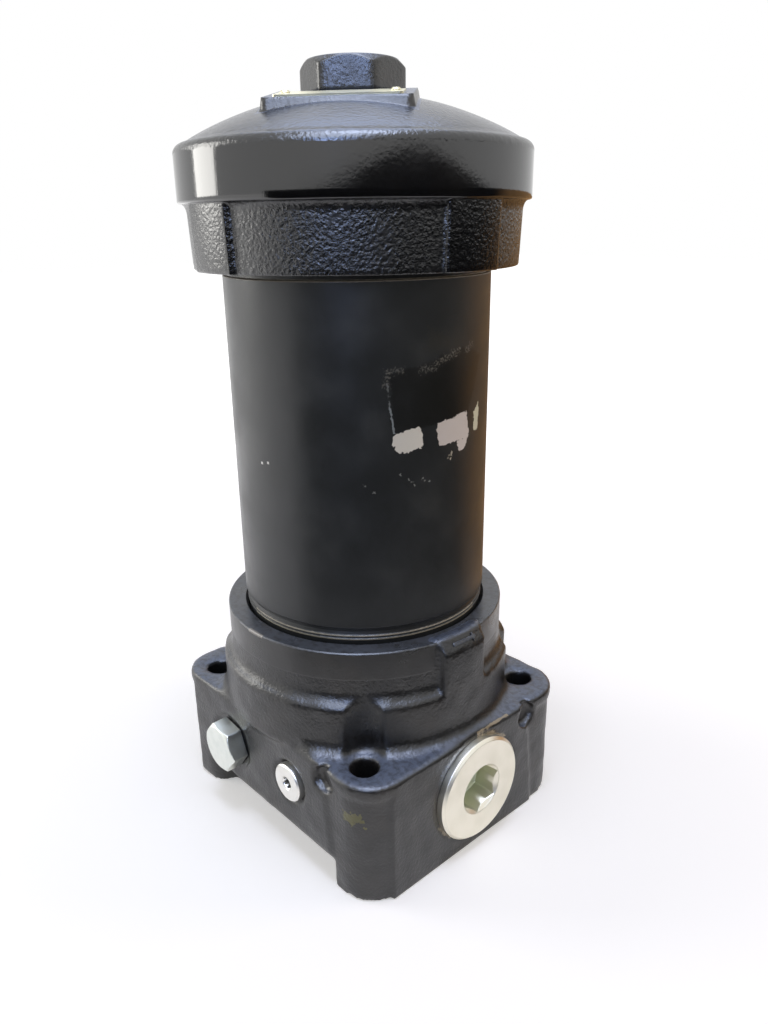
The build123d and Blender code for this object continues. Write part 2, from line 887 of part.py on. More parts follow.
def element_lower_cap():
    bore_r = hub_bore_r()
    cap = element_cap(bore_r) + pipe(bore_r + hub_wall, bore_r, 0, hub_h)
    half_groove = element_seal_d / 2 + groove_end_gap
    room = post(bore_r + element_seal_d, hub_seal_z() - half_groove, hub_seal_z() + half_groove)
    return Pos(0, 0, element_base_z) * (cap - room)


def element_o_ring():
    z = element_base_z + hub_seal_z()
    return Pos(0, 0, z) * Torus(hub_bore_r() + element_seal_d / 2, element_seal_d / 2)


def element_upper_cap():
    cap = Pos(0, 0, element_top_z) * Rot(180, 0, 0) * element_cap(0)
    ear_top = bail_z + bail_wire_d
    for side in (-1, 1):
        ear = Box(ear_w, ear_l, ear_top - element_top_z, align=(Align.CENTER, Align.CENTER, Align.MIN))
        cap += Pos(side * ear_spacing / 2, 0, element_top_z) * ear
    hole = Rot(0, 90, 0) * Cylinder(bail_wire_d / 2 + bail_hole_gap, ear_spacing + 4 * ear_w)
    return cap - Pos(0, 0, bail_z) * hole


def bail_handle():
    """Wire bail lying folded towards -Y, with its ends turned out through the ears."""
    pin_x = ear_spacing / 2 + ear_w / 2 + bail_pin_past_ear
    half = bail_half_width
    bend = bail_bend_r
    path = [
        Line((-pin_x, 0), (-half - bend, 0)),
        RadiusArc((-half - bend, 0), (-half, -bend), bend),
        ThreePointArc((-half, -bend), (0, -bail_reach), (half, -bend)),
        RadiusArc((half, -bend), (half + bend, 0), bend),
        Line((half + bend, 0), (pin_x, 0)),
    ]
    wire = Wire(path)
    start = Plane(origin=wire @ 0, z_dir=wire % 0)
    return Pos(0, 0, bail_z) * sweep(start * Circle(bail_wire_d / 2), wire, transition=Transition.ROUND)


def element_span():
    return element_base_z + end_plate_h, element_top_z - end_plate_h


def element_core():
    low, high = element_span()
    body = pipe(core_r, core_r - core_wall, low, high)
    step = (high - low - 2 * core_hole_margin) / (core_hole_rows - 1)
    for row in range(core_hole_rows):
        for index in range(core_holes_round // 2):
            turn = (index + 0.5 * (row % 2)) * 360 / core_holes_round
            drill = Rot(0, 90, 0) * Cylinder(core_hole_d / 2, 3 * core_r)
            body -= Rot(0, 0, turn) * Pos(0, 0, low + core_hole_margin + row * step) * drill
    return body


def zigzag(peak_r, valley_r):
    points = []
    for index in range(2 * pleat_count):
        angle = math.pi * index / pleat_count
        radius = peak_r if index % 2 == 0 else valley_r
        points.append((radius * math.cos(angle), radius * math.sin(angle)))
    return make_face(Polyline(*points, close=True))


def wrap_inner_r():
    return element_r - end_rim_wall - wrap_gap - wrap_wall


def element_pleats():
    low, high = element_span()
    peak = wrap_inner_r() - pleat_gap
    root = core_r + pleat_gap
    plan = zigzag(peak, root + pleat_fold_in) - zigzag(peak - pleat_fold_in, root)
    return Pos(0, 0, low) * extrude(plan, high - low)


def element_outer_wrap():
    low, high = element_span()
    return pipe(wrap_inner_r() + wrap_wall, wrap_inner_r(), low, high)


def all_parts():
    head = whole_head()
    return {
        "head_casting": between(head, 0, head_split_z),
        "head_drum": between(head, head_split_z, dome_top_z),
        "bowl_tube": bowl_tube(),
        "bowl_o_ring": seal_o_ring(foot_neck_r - seal_room, bowl_seal_z),
        "bowl_backup_ring": seal_backup_ring(foot_neck_r - seal_room, bowl_seal_z),
        "cap_o_ring": seal_o_ring(cap_bore_r, cap_seal_z),
        "cap_backup_ring": seal_backup_ring(cap_bore_r, cap_seal_z),
        "cap_casting": cap_casting(),
        "tag_plate": tag_plate(),
        "tag_rivets": tag_rivets(),
        "outlet_port_plug": at_large_port(0) * large_plug(),
        "outlet_plug_o_ring": at_large_port(0) * plug_o_ring(),
        "inlet_port_plug": at_large_port(180) * large_plug(),
        "inlet_plug_o_ring": at_large_port(180) * plug_o_ring(),
        "indicator_port_plug": at_indicator_port() * indicator_plug(),
        "indicator_plug_seal": at_indicator_port() * indicator_seal(),
        "vent_plug": at_vent_port() * small_plug(),
        "vent_plug_o_ring": at_vent_port() * vent_o_ring(),
        "element_spigot": element_spigot(),
        "bypass_cage": bypass_cage(),
        "bypass_seat": bypass_seat(),
        "bypass_poppet": bypass_poppet(),
        "bypass_spring": bypass_spring(),
        "element_lower_cap": element_lower_cap(),
        "element_o_ring": element_o_ring(),
        "element_core": element_core(),
        "element_pleats": element_pleats(),
        "element_outer_wrap": element_outer_wrap(),
        "element_upper_cap": element_upper_cap(),
        "bail_handle": bail_handle(),
    }


os.makedirs("parts", exist_ok=True)
for name, shape in all_parts().items():
    export_step(shape, f"parts/{name}.step")
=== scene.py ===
"""Looks of a hydraulic pressure filter: black cast head, steel bowl tube and lugged cap.

Sizes are in millimetres and become metres where a mesh is made. The frame is the part's own:
origin under the head on the bowl's axis, +Z up, +X out of the outlet port, -Y out of the vent.
"""

import logging
import math
from dataclasses import dataclass
from enum import Enum

import bmesh
import bpy
import numpy as np
from mathutils import Matrix, Vector


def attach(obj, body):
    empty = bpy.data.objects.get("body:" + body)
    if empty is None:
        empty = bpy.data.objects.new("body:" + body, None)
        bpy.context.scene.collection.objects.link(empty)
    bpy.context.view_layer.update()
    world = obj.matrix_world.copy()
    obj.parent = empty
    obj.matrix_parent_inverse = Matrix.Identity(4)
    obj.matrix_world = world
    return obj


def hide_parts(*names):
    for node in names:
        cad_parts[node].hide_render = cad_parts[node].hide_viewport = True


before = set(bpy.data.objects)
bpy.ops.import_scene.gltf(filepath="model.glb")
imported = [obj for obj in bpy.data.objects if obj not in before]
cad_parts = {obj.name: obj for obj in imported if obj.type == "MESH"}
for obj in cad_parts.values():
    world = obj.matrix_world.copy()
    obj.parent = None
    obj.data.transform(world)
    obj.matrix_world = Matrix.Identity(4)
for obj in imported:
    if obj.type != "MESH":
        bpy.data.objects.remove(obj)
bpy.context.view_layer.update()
LOG = logging.getLogger("pressure_filter")
MM = 0.001
FLAT_MAP = "round_and_up"
Socket = bpy.types.NodeSocket
Triple = tuple[float, float, float]


# Colour and nodes


def linear(colour: str) -> tuple[float, float, float, float]:
    """Linear RGBA of an sRGB hex colour.

    Args:
        colour: Colour such as "#1c1c1e".

    Returns:
        The four linear channels, with alpha 1.
    """
    srgb = np.array([int(colour[i:i + 2], 16) for i in (1, 3, 5)]) / 255.0
    value = np.where(srgb <= 0.04045, srgb / 12.92, ((srgb + 0.055) / 1.055) ** 2.4)
    return (*value.tolist(), 1.0)


class Graph:
    """A node tree with short calls that add what the finishes need."""

    def __init__(self, tree: bpy.types.NodeTree) -> None:
        """Keeps the tree."""
        self.tree = tree

    def feed(self, node: bpy.types.Node, inputs: dict) -> None:
        """Sets a node's inputs.

        Args:
            node: The node.
            inputs: Input name or number to a socket, which is linked, a hex colour or a constant.
        """
        for key, value in inputs.items():
            if isinstance(value, Socket):
                self.tree.links.new(value, node.inputs[key])
            else:
                constant = linear(value) if isinstance(value, str) else value
                node.inputs[key].default_value = constant

    def add(self, kind: str, inputs: dict | None = None, **options: object) -> bpy.types.Node:
        """Adds one shader node.

        Args:
            kind: Type name without its ShaderNode prefix.
            inputs: What feeds its inputs.
            options: Its settings.

        Returns:
            The new node.
        """
        node = self.tree.nodes.new("ShaderNode" + kind)
        for key, value in options.items():
            setattr(node, key, value)
        self.feed(node, inputs or {})
        return node

    def math(self, operation: str, *terms: object) -> Socket:
        """Result of one Math node, whose terms are numbers or sockets."""
        return self.add("Math", dict(enumerate(terms)), operation=operation).outputs[0]

    def vector(self, operation: str, *terms: object) -> bpy.types.Node:
        """One Vector Math node, whose terms are triples or sockets."""
        return self.add("VectorMath", dict(enumerate(terms)), operation=operation)

    def noise(self, place: Socket, size_mm: float, detail: float = 2.0) -> Socket:
        """Height of a noise whose features are about this many millimetres wide."""
        inputs = {"Scale": 1.0 / (size_mm * MM), "Detail": detail, "Vector": place}
        return self.add("TexNoise", inputs).outputs["Fac"]

    def stretched(self, place: Socket, factors: Triple) -> Socket:
        """Coordinates scaled along each axis, for patterns longer one way than the other."""
        return self.add("Mapping", {"Scale": factors, "Vector": place}).outputs[0]

    def fade(self, value: Socket, low: float, high: float, to_low: float = 0.0,
             to_high: float = 1.0) -> Socket:
        """Smooth step of a value from one range to another.

        Args:
            value: The value.
            low: Where the step starts.
            high: Where it ends.
            to_low: Result at the start.
            to_high: Result at the end.

        Returns:
            The result.
        """
        inputs = {"Value": value, "From Min": low, "From Max": high, "To Min": to_low,
                  "To Max": to_high}
        return self.add("MapRange", inputs, interpolation_type="SMOOTHSTEP").outputs[0]

    def blend(self, factor: Socket, first: str | Socket, second: str | Socket) -> Socket:
        """Mix of two colours."""
        return self.add("Mix", {0: factor, 6: first, 7: second}, data_type="RGBA").outputs[2]

    def bump(self, height: Socket, depth_mm: float, strength: float | Socket = 1.0,
             under: Socket | None = None) -> Socket:
        """Normal of a surface whose height swings by a real depth, over another normal if any."""
        inputs = {"Height": height, "Distance": depth_mm * MM, "Strength": strength}
        return self.add("Bump", inputs | ({"Normal": under} if under else {})).outputs[0]

    def place(self) -> Socket:
        """Object coordinates."""
        return self.add("TexCoord").outputs["Object"]

    def flat_place(self) -> Socket:
        """The piece's own flat map: length round it and height, in metres."""
        return self.add("UVMap", uv_map=FLAT_MAP).outputs[0]

    def attribute(self, name: str) -> Socket:
        """Value of a piece's attribute."""
        return self.add("Attribute", attribute_name=name).outputs["Fac"]

    def seen_directly(self) -> Socket:
        """Whether a ray sees the surface straight, in a mirror or through glass.

        Returns:
            One on camera, glossy and transmission rays and nought on the others.
        """
        rays = self.add("LightPath").outputs
        seen = self.math("MAXIMUM", rays["Is Camera Ray"], rays["Is Glossy Ray"])
        return self.math("MAXIMUM", seen, rays["Is Transmission Ray"])

    def torn_mask(self, place: Socket, past: Socket, ragged_mm: float, size_mm: float,
                  soft_mm: float, strength: float) -> Socket:
        """Mask of a mark with a torn edge.

        The distance past the edge is moved in and out by noise and then cut at nought.

        Args:
            place: Coordinates in metres.
            past: Distance past the plain edge, in metres.
            ragged_mm: How far the edge moves.
            size_mm: Width of the tears.
            soft_mm: Half width of the cut.
            strength: Value inside.

        Returns:
            The strength inside the mark and nought outside.
        """
        reach = ragged_mm * MM
        shift = self.math("MULTIPLY_ADD", self.noise(place, size_mm, 4.0), 2 * reach, -reach)
        edge = self.math("ADD", past, shift)
        return self.fade(edge, soft_mm * MM, -soft_mm * MM, 0.0, strength)


class MaterialGraph(Graph):
    """Node tree of a new material."""

    def __init__(self, name: str) -> None:
        """Makes the material.

        Args:
            name: The real finish that it stands for.
        """
        self.material = bpy.data.materials.new(name)
        self.material.use_nodes = True
        super().__init__(self.material.node_tree)

    def finished(self, inputs: dict) -> bpy.types.Material:
        """The material, once its shader is fed."""
        self.feed(self.tree.nodes["Principled BSDF"], inputs)
        return self.material


@dataclass(frozen=True)
class Spot:
    """A mark on a surface: its middle and half sizes, its colour and how ragged it is."""

    middle: Triple
    half: Triple
    colour: str
    ragged_mm: float = 2.0
    ragged_size_mm: float = 3.0
    strength: float = 1.0
    soft_mm: float = 0.2

    def mask(self, graph: Graph, place: Socket) -> Socket:
        """Mask whose edge lies where the largest distance less its half size is nought.

        Args:
            graph: Node tree of the material.
            place: Coordinates in metres.

        Returns:
            The strength inside the mark and nought outside.
        """
        middle, half = (tuple(v * MM for v in triple) for triple in (self.middle, self.half))
        away = graph.vector("ABSOLUTE", graph.vector("SUBTRACT", place, middle).outputs[0])
        past = graph.vector("SUBTRACT", away.outputs[0], half).outputs[0]
        parts = graph.add("SeparateXYZ", {0: past}).outputs
        largest = graph.math("MAXIMUM", graph.math("MAXIMUM", parts[0], parts[1]), parts[2])
        return graph.torn_mask(place, largest, self.ragged_mm, self.ragged_size_mm, self.soft_mm,
                               self.strength)


@dataclass(frozen=True)
class TornPatch:
    """A straight-sided remnant with torn edges; its corners go anticlockwise, none inwards."""

    corners: tuple[tuple[float, float], ...]
    colour: str
    ragged_mm: float = 1.9
    ragged_size_mm: float = 2.0
    strength: float = 1.0
    soft_mm: float = 0.1
    speckle_mm: float = 0.0

    def mask(self, graph: Graph, place: Socket) -> Socket:
        """Mask whose edge lies where the largest distance past a side's line is nought.

        Args:
            graph: Node tree of the material.
            place: Flat coordinates in metres.

        Returns:
            The strength inside the patch and nought outside, broken up where it is speckled.
        """
        largest = None
        for start, end in zip(self.corners, self.corners[1:] + self.corners[:1]):
            length = math.dist(start, end)
            outward = ((end[1] - start[1]) / length, (start[0] - end[0]) / length, 0.0)
            reach = (start[0] * outward[0] + start[1] * outward[1]) * MM
            along = graph.vector("DOT_PRODUCT", place, outward).outputs["Value"]
            past = graph.math("SUBTRACT", along, reach)
            largest = past if largest is None else graph.math("MAXIMUM", largest, past)
        mask = graph.torn_mask(place, largest, self.ragged_mm, self.ragged_size_mm, self.soft_mm,
                               self.strength)
        if self.speckle_mm:
            speckle = graph.fade(graph.noise(place, self.speckle_mm, 3.0), 0.42, 0.62)
            mask = graph.math("MULTIPLY", mask, speckle)
        return mask


# Finishes


@dataclass(frozen=True)
class CastEnamel:
    """Black enamel brushed on sand-cast iron: soft gloss that breaks up over the sand grain."""

    name: str
    paint: str = "#181715"
    dust: str = "#322d26"
    wear_and_highlight_colour: str = "#656c78"
    painted_sheen_colour: str = "#606a7e"
    painted_sheen_strength: float = 0.9
    roughness: float = 0.34
    specular: float = 0.75
    grain_mm: float = 1.6
    grain_depth_mm: float = 0.30
    grain_detail: float = 3.0
    wave_mm: float = 9.0
    wave_depth_mm: float = 0.5
    wear_and_highlight_pointiness: tuple[float, float] = (0.56, 0.66)
    wear_and_highlight_strength: float = 0.28
    spots: tuple[Spot, ...] = ()
    roughness_attribute: str = ""
    wear_and_highlight_attribute: str = ""
    line_depth_mm: float = 0.0

    def material(self) -> bpy.types.Material:
        """Builds the enamel.

        Returns:
            The material: grain and waves as bump, dust in patches, a painted sheen on faces that
            look up and thin bright edges of wear and painted highlight on sharp edges.
        """
        graph = MaterialGraph(self.name)
        place = graph.place()
        strength: float | Socket = 1.0
        gloss = graph.fade(graph.noise(place, 14.0, 3.0), 0.3, 0.75, 0.88 * self.roughness,
                           1.26 * self.roughness)
        if self.roughness_attribute:
            strength = graph.attribute(self.roughness_attribute)
            gloss = graph.math("MULTIPLY_ADD", strength, 0.2, gloss)
        normal = graph.bump(graph.noise(place, self.wave_mm), self.wave_depth_mm, 0.6)
        if self.line_depth_mm:
            tall = graph.stretched(graph.flat_place(), (1.0, 0.02, 1.0))
            smooth = graph.math("SUBTRACT", 1.0, strength)
            normal = graph.bump(graph.noise(tall, 0.9, 3.0), self.line_depth_mm, smooth, normal)
        grain = graph.noise(place, self.grain_mm, self.grain_detail)
        normal = graph.bump(grain, self.grain_depth_mm, strength, normal)
        dusty = graph.fade(graph.noise(place, 26.0, 4.0), 0.45, 0.8, 0.0, 0.5)
        colour = graph.blend(dusty, self.paint, self.dust)
        # Painted sheen: faces that look up are lightened towards a bluish grey, as if lit from
        # above.
        colour = graph.blend(self.painted_sheen_share(graph, place), colour, self.painted_sheen_colour)
        # Bright edges: wear and a painted highlight in one bluish grey.
        colour = graph.blend(self.wear_and_highlight(graph, place), colour, self.wear_and_highlight_colour)
        for spot in self.spots:
            colour = graph.blend(spot.mask(graph, place), colour, spot.colour)
        return graph.finished({"Base Color": colour, "Roughness": gloss, "Normal": normal,
                               "Specular IOR Level": self.specular})

    def painted_sheen_share(self, graph: Graph, place: Socket) -> Socket:
        """Share of painted sheen: a smooth step of how far the face looks up, broken up by noise.

        Args:
            graph: Node tree of the material.
            place: Coordinates in metres.

        Returns:
            The share.
        """
        facing = graph.add("NewGeometry").outputs["Normal"]
        upward = graph.add("SeparateXYZ", {0: facing}).outputs[2]
        broken = graph.fade(graph.noise(place, 3.0, 5.0), 0.3, 0.6, 0.45, 1.0)
        return graph.math("MULTIPLY", graph.fade(upward, 0.62, 0.97, 0.0, self.painted_sheen_strength),
                          broken)

    def wear_and_highlight(self, graph: Graph, place: Socket) -> Socket:
        """Share of the bright edge, wear and painted highlight, from the attribute or the edge's
        sharpness.

        Args:
            graph: Node tree of the material.
            place: Coordinates in metres.

        Returns:
            The share, broken up by noise.
        """
        if self.wear_and_highlight_attribute:
            edge = graph.attribute(self.wear_and_highlight_attribute)
            edge = graph.math("MULTIPLY", edge, self.wear_and_highlight_strength)
        else:
            sharp = graph.add("NewGeometry").outputs["Pointiness"]
            edge = graph.fade(sharp, *self.wear_and_highlight_pointiness, 0.0, self.wear_and_highlight_strength)
        return graph.math("MULTIPLY", edge, graph.fade(graph.noise(place, 5.0, 4.0), 0.35, 0.6))


@dataclass(frozen=True)
class TubePaint:
    """Satin black stoving paint on steel tube: even sheen, faint scuffs, a torn label's rests."""

    name: str
    paint: str = "#2a2c2d"
    scuff: str = "#3d3d39"
    roughness: float = 0.36
    specular: float = 0.5
    grain_mm: float = 0.7
    grain_depth_mm: float = 0.03
    marks: tuple[Spot | TornPatch, ...] = ()
    paper: tuple[TornPatch, ...] = ()
    paper_roughness: float = 0.85

    def material(self) -> bpy.types.Material:
        """Builds the paint on the tube's flat map.

        Returns:
            The material: cloudy scuffs, scratches, marks, and paper that is duller than paint.
        """
        graph = MaterialGraph(self.name)
        place = graph.flat_place()
        normal = graph.bump(graph.noise(place, 18.0), 0.25, 0.5)
        normal = graph.bump(graph.noise(place, self.grain_mm), self.grain_depth_mm, 0.7, normal)
        cloud = graph.noise(place, 30.0, 5.0)
        colour = graph.blend(graph.fade(cloud, 0.5, 0.85, 0.0, 0.5), self.paint, self.scuff)
        scratch = graph.noise(graph.stretched(place, (0.25, 1.6, 1.0)), 1.2)
        scratch = graph.math("MULTIPLY", graph.fade(scratch, 0.70, 0.76),
                             graph.fade(cloud, 0.45, 0.6))
        colour = graph.blend(graph.math("MULTIPLY", scratch, 0.6), colour, self.scuff)
        gloss = graph.fade(cloud, 0.3, 0.8, self.roughness - 0.05, self.roughness + 0.1)
        for mark in self.marks:
            colour = graph.blend(mark.mask(graph, place), colour, mark.colour)
        for rest in self.paper:
            mask = rest.mask(graph, place)
            colour = graph.blend(mask, colour, rest.colour)
            dull = graph.math("MULTIPLY", mask, self.paper_roughness)
            gloss = graph.math("MAXIMUM", gloss, dull)
        return graph.finished({"Base Color": colour, "Roughness": gloss, "Normal": normal,
                               "Specular IOR Level": self.specular})


@dataclass(frozen=True)
class Metal:
    """Bare or plated metal: its fields set what colour, gloss and tool marks give the eye."""

    name: str
    colour: str
    tint: str
    roughness: float
    grain_mm: float = 0.6
    grain_depth_mm: float = 0.02
    cloud_mm: float = 7.0
    cloud_share: float = 0.6
    painted_shade_attribute: str = ""
    painted_shade_colour: str = "#cfd3bd"

    def material(self) -> bpy.types.Material:
        """Builds the metal.

        Returns:
            The material: two tints in soft clouds, painted shade where the attribute says, uneven
                gloss and a fine grain.
        """
        graph = MaterialGraph(self.name)
        place = graph.place()
        cloud = graph.noise(place, self.cloud_mm, 4.0)
        share = graph.fade(cloud, 0.35, 0.7, 0.0, self.cloud_share)
        colour = graph.blend(share, self.colour, self.tint)
        # Painted shade: where the attribute is one, the colour darkens to the shade colour.
        if self.painted_shade_attribute:
            colour = graph.blend(graph.attribute(self.painted_shade_attribute), colour, self.painted_shade_colour)
        gloss = graph.fade(cloud, 0.3, 0.75, self.roughness, self.roughness + 0.12)
        normal = graph.bump(graph.noise(place, self.grain_mm, 3.0), self.grain_depth_mm)
        return graph.finished({"Base Color": colour, "Roughness": gloss, "Normal": normal,
                               "Metallic": 1.0})


@dataclass(frozen=True)
class SoftStuff:
    """Rubber, plastic or fibre: dull, with its own grain."""

    name: str
    colour: str
    tint: str
    roughness: float
    grain_mm: float
    grain_depth_mm: float

    def material(self) -> bpy.types.Material:
        """Builds the soft finish.

        Returns:
            The material: two close tints and a grain bump.
        """
        graph = MaterialGraph(self.name)
        grain = graph.noise(graph.place(), self.grain_mm, 4.0)
        colour = graph.blend(graph.fade(grain, 0.35, 0.65), self.colour, self.tint)
        return graph.finished({"Base Color": colour, "Roughness": self.roughness,
                               "Normal": graph.bump(grain, self.grain_depth_mm)})


# Mesh tools


def add_object(name: str, data: bpy.types.ID) -> bpy.types.Object:
    """New object in the scene.

    Args:
        name: Its name.
        data: Its mesh, lamp or camera.

    Returns:
        The object.
    """
    thing = bpy.data.objects.new(name, data)
    bpy.context.scene.collection.objects.link(thing)
    return thing


def new_mesh(name: str, points: np.ndarray, faces: np.ndarray) -> bpy.types.Mesh:
    """New mesh.

    Args:
        name: Its name.
        points: Its points in metres, three to a point in any grid.
        faces: M by 3 or M by 4 corner numbers.

    Returns:
        The mesh.
    """
    mesh = bpy.data.meshes.new(name)
    mesh.from_pydata(points.reshape(-1, 3).tolist(), [], faces.tolist())
    return mesh


def read_mesh(mesh: bpy.types.Mesh) -> tuple[np.ndarray, np.ndarray]:
    """Points of a mesh and the point number of each face corner.

    Args:
        mesh: The mesh.

    Returns:
        N by 3 points in metres and the flat list of corners.
    """
    points = np.empty(len(mesh.vertices) * 3)
    mesh.vertices.foreach_get("co", points)
    corners = np.empty(len(mesh.loops), np.int32)
    mesh.loops.foreach_get("vertex_index", corners)
    return points.reshape(-1, 3), corners


def turn_angles(count: int) -> np.ndarray:
    """Evenly spaced angles round a full turn, in radians."""
    return np.linspace(0.0, 2 * np.pi, count, endpoint=False)


def smooth_step(share: np.ndarray) -> np.ndarray:
    """Three times the square less twice the cube."""
    return share * share * (3 - 2 * share)


def smooth_least(first: np.ndarray, second: np.ndarray, width: float) -> np.ndarray:
    """Smaller of two values, rounded over a width where they meet."""
    return -width * np.logaddexp(-first / width, -second / width)


def unit(vectors: np.ndarray) -> np.ndarray:
    """Vectors over their lengths."""
    return vectors / (np.linalg.norm(vectors, axis=1, keepdims=True) + 1e-12)


def rounded_profile(points: np.ndarray, radii: np.ndarray, steps: int = 5) -> np.ndarray:
    """Closed outline with its corners turned into arcs.

    Each corner is cut back along both edges by its radius over the tangent of half the corner's
    angle. Between the two cuts the point swings round the arc's centre by spherical
    interpolation. One support point on each side keeps the flat stretch beside the arc flat.

    Args:
        points: Corners, N by 2, in order.
        radii: Radius of each corner.
        steps: Points on each arc.

    Returns:
        The outline, N times (steps + 2) by 2.
    """
    back = np.roll(points, 1, axis=0) - points
    ahead = np.roll(points, -1, axis=0) - points
    back_length = np.linalg.norm(back, axis=1, keepdims=True)
    ahead_length = np.linalg.norm(ahead, axis=1, keepdims=True)
    back, ahead = back / back_length, ahead / ahead_length
    half = 0.5 * np.arccos(np.clip((back * ahead).sum(1), -0.99999, 0.99999))[:, None]
    shortest = np.minimum(back_length, ahead_length)
    radius = np.minimum(radii[:, None], 0.45 * shortest * np.tan(half)) + 1e-6
    cut = radius / np.tan(half)
    centre = points + unit(back + ahead) * radius / np.sin(half)
    start, end = points + back * cut - centre, points + ahead * cut - centre
    swing = (np.pi - 2 * half)[:, None]
    share = np.linspace(0.0, 1.0, steps)[None, :, None]
    arc = np.sin((1 - share) * swing) * start[:, None] + np.sin(share * swing) * end[:, None]
    arc = centre[:, None] + arc / np.maximum(np.sin(swing), 1e-9)
    aside = np.minimum(cut + 0.4, 0.49 * shortest)
    before, after = (points + back * aside)[:, None], (points + ahead * aside)[:, None]
    return np.concatenate([before, arc, after], axis=1).reshape(-1, 2)


def polygon_radius(turn: np.ndarray, sides: int, across_flats: float,
                   corner_r: float) -> np.ndarray:
    """Radius of a regular polygon at each angle, with a flat's middle at angle nought.

    The radius is the flat's distance over the cosine of the angle from the nearest flat's middle,
    held back smoothly near the corners by the corner's radius.

    Args:
        turn: Angles.
        sides: Number of sides.
        across_flats: Distance between opposite sides.
        corner_r: Radius of the corners.

    Returns:
        The radii as a column.
    """
    sector = 2 * np.pi / sides
    off = (turn + sector / 2) % sector - sector / 2
    flat, lean = across_flats / 2, 1 / math.cos(sector / 2)
    plain = flat / np.cos(off)
    limit = flat * lean - corner_r * (lean - 1) * 1.5
    sharp = corner_r * 0.35
    return (plain - sharp * np.logaddexp(0.0, (plain - limit) / sharp))[:, None]


def joined(turn: np.ndarray, *parts: np.ndarray) -> np.ndarray:
    """Grid of rows by angle, from rows that are the same at every angle and grids."""
    return np.concatenate([np.broadcast_to(p, (len(turn), p.shape[-1])) for p in parts], axis=1)


def lathe_points(radius: np.ndarray, height: np.ndarray, turn: np.ndarray) -> np.ndarray:
    """Points of a turned surface: radius times cosine and sine of the turn, and the height.

    Args:
        radius: S radii, or T by S.
        height: S heights, or T by S.
        turn: T angles.

    Returns:
        T by S by 3 points.
    """
    radius, height = joined(turn, radius), joined(turn, height)
    across, along = np.cos(turn)[:, None], np.sin(turn)[:, None]
    return np.stack([radius * across, radius * along, height], axis=-1)


def flat_map(turn: np.ndarray, radius: float, height: np.ndarray) -> np.ndarray:
    """Flat map of a turned piece: the angle, from minus to plus half a turn, times the radius.

    Args:
        turn: T angles.
        radius: Radius that the lengths are measured at.
        height: S heights.

    Returns:
        Length round the piece and height of T by S points, in metres.
    """
    arc = ((turn + np.pi) % (2 * np.pi) - np.pi)[:, None] * radius
    heights = joined(turn, height)
    return np.stack([np.broadcast_to(arc, heights.shape), heights], -1).reshape(-1, 2) * MM


def grid_faces(rows: int, columns: int, wrap: bool = True) -> np.ndarray:
    """Quads that join neighbouring points of a grid.

    Args:
        rows: Rows of points.
        columns: Points in each row.
        wrap: Whether the last row and column join the first.

    Returns:
        M by 4 corner numbers.
    """
    row = np.arange(rows if wrap else rows - 1)[:, None]
    column = np.arange(columns if wrap else columns - 1)[None, :]
    next_row, next_column = (row + 1) % rows, (column + 1) % columns
    corners = (row * columns + column, next_row * columns + column,
               next_row * columns + next_column, row * columns + next_column)
    shape = (row.size, column.size)
    return np.stack([np.broadcast_to(c, shape) for c in corners], axis=-1).reshape(-1, 4)


def placed(points: np.ndarray, matrix: Matrix) -> np.ndarray:
    """Points turned and moved by a matrix whose lengths are in millimetres."""
    return points @ np.array(matrix.to_3x3()).T + np.array(matrix.translation)


def waviness(points: np.ndarray, size_mm: float, waves: int, seed: int) -> np.ndarray:
    """Smooth random height at each point.

    The sum of sine waves of about one length, in random directions and phases, over the square
    root of half their number, so that it swings by about one.

    Args:
        points: N by 3 points.
        size_mm: Length of the waves.
        waves: Number of waves.
        seed: Seed of their directions.

    Returns:
        N heights.
    """
    rng = np.random.default_rng(seed)
    direction = rng.normal(size=(waves, 3))
    direction /= np.linalg.norm(direction, axis=1, keepdims=True)
    direction *= (2 * np.pi / size_mm) * rng.uniform(0.6, 1.4, (waves, 1))
    phase = rng.uniform(0, 2 * np.pi, waves)
    return np.sin(points @ direction.T + phase).sum(1) / math.sqrt(waves / 2)


class Body(Enum):
    """The rigid bodies that the pieces ride on."""

    ROOT = "root"
    CAP = "cap"


class Slot(Enum):
    """The record's material slot names; each piece carries one, and nothing here reads it."""

    CASTING = "black_painted_casting"
    TUBE = "black_painted_tube"
    ZINC = "zinc_plated_steel"


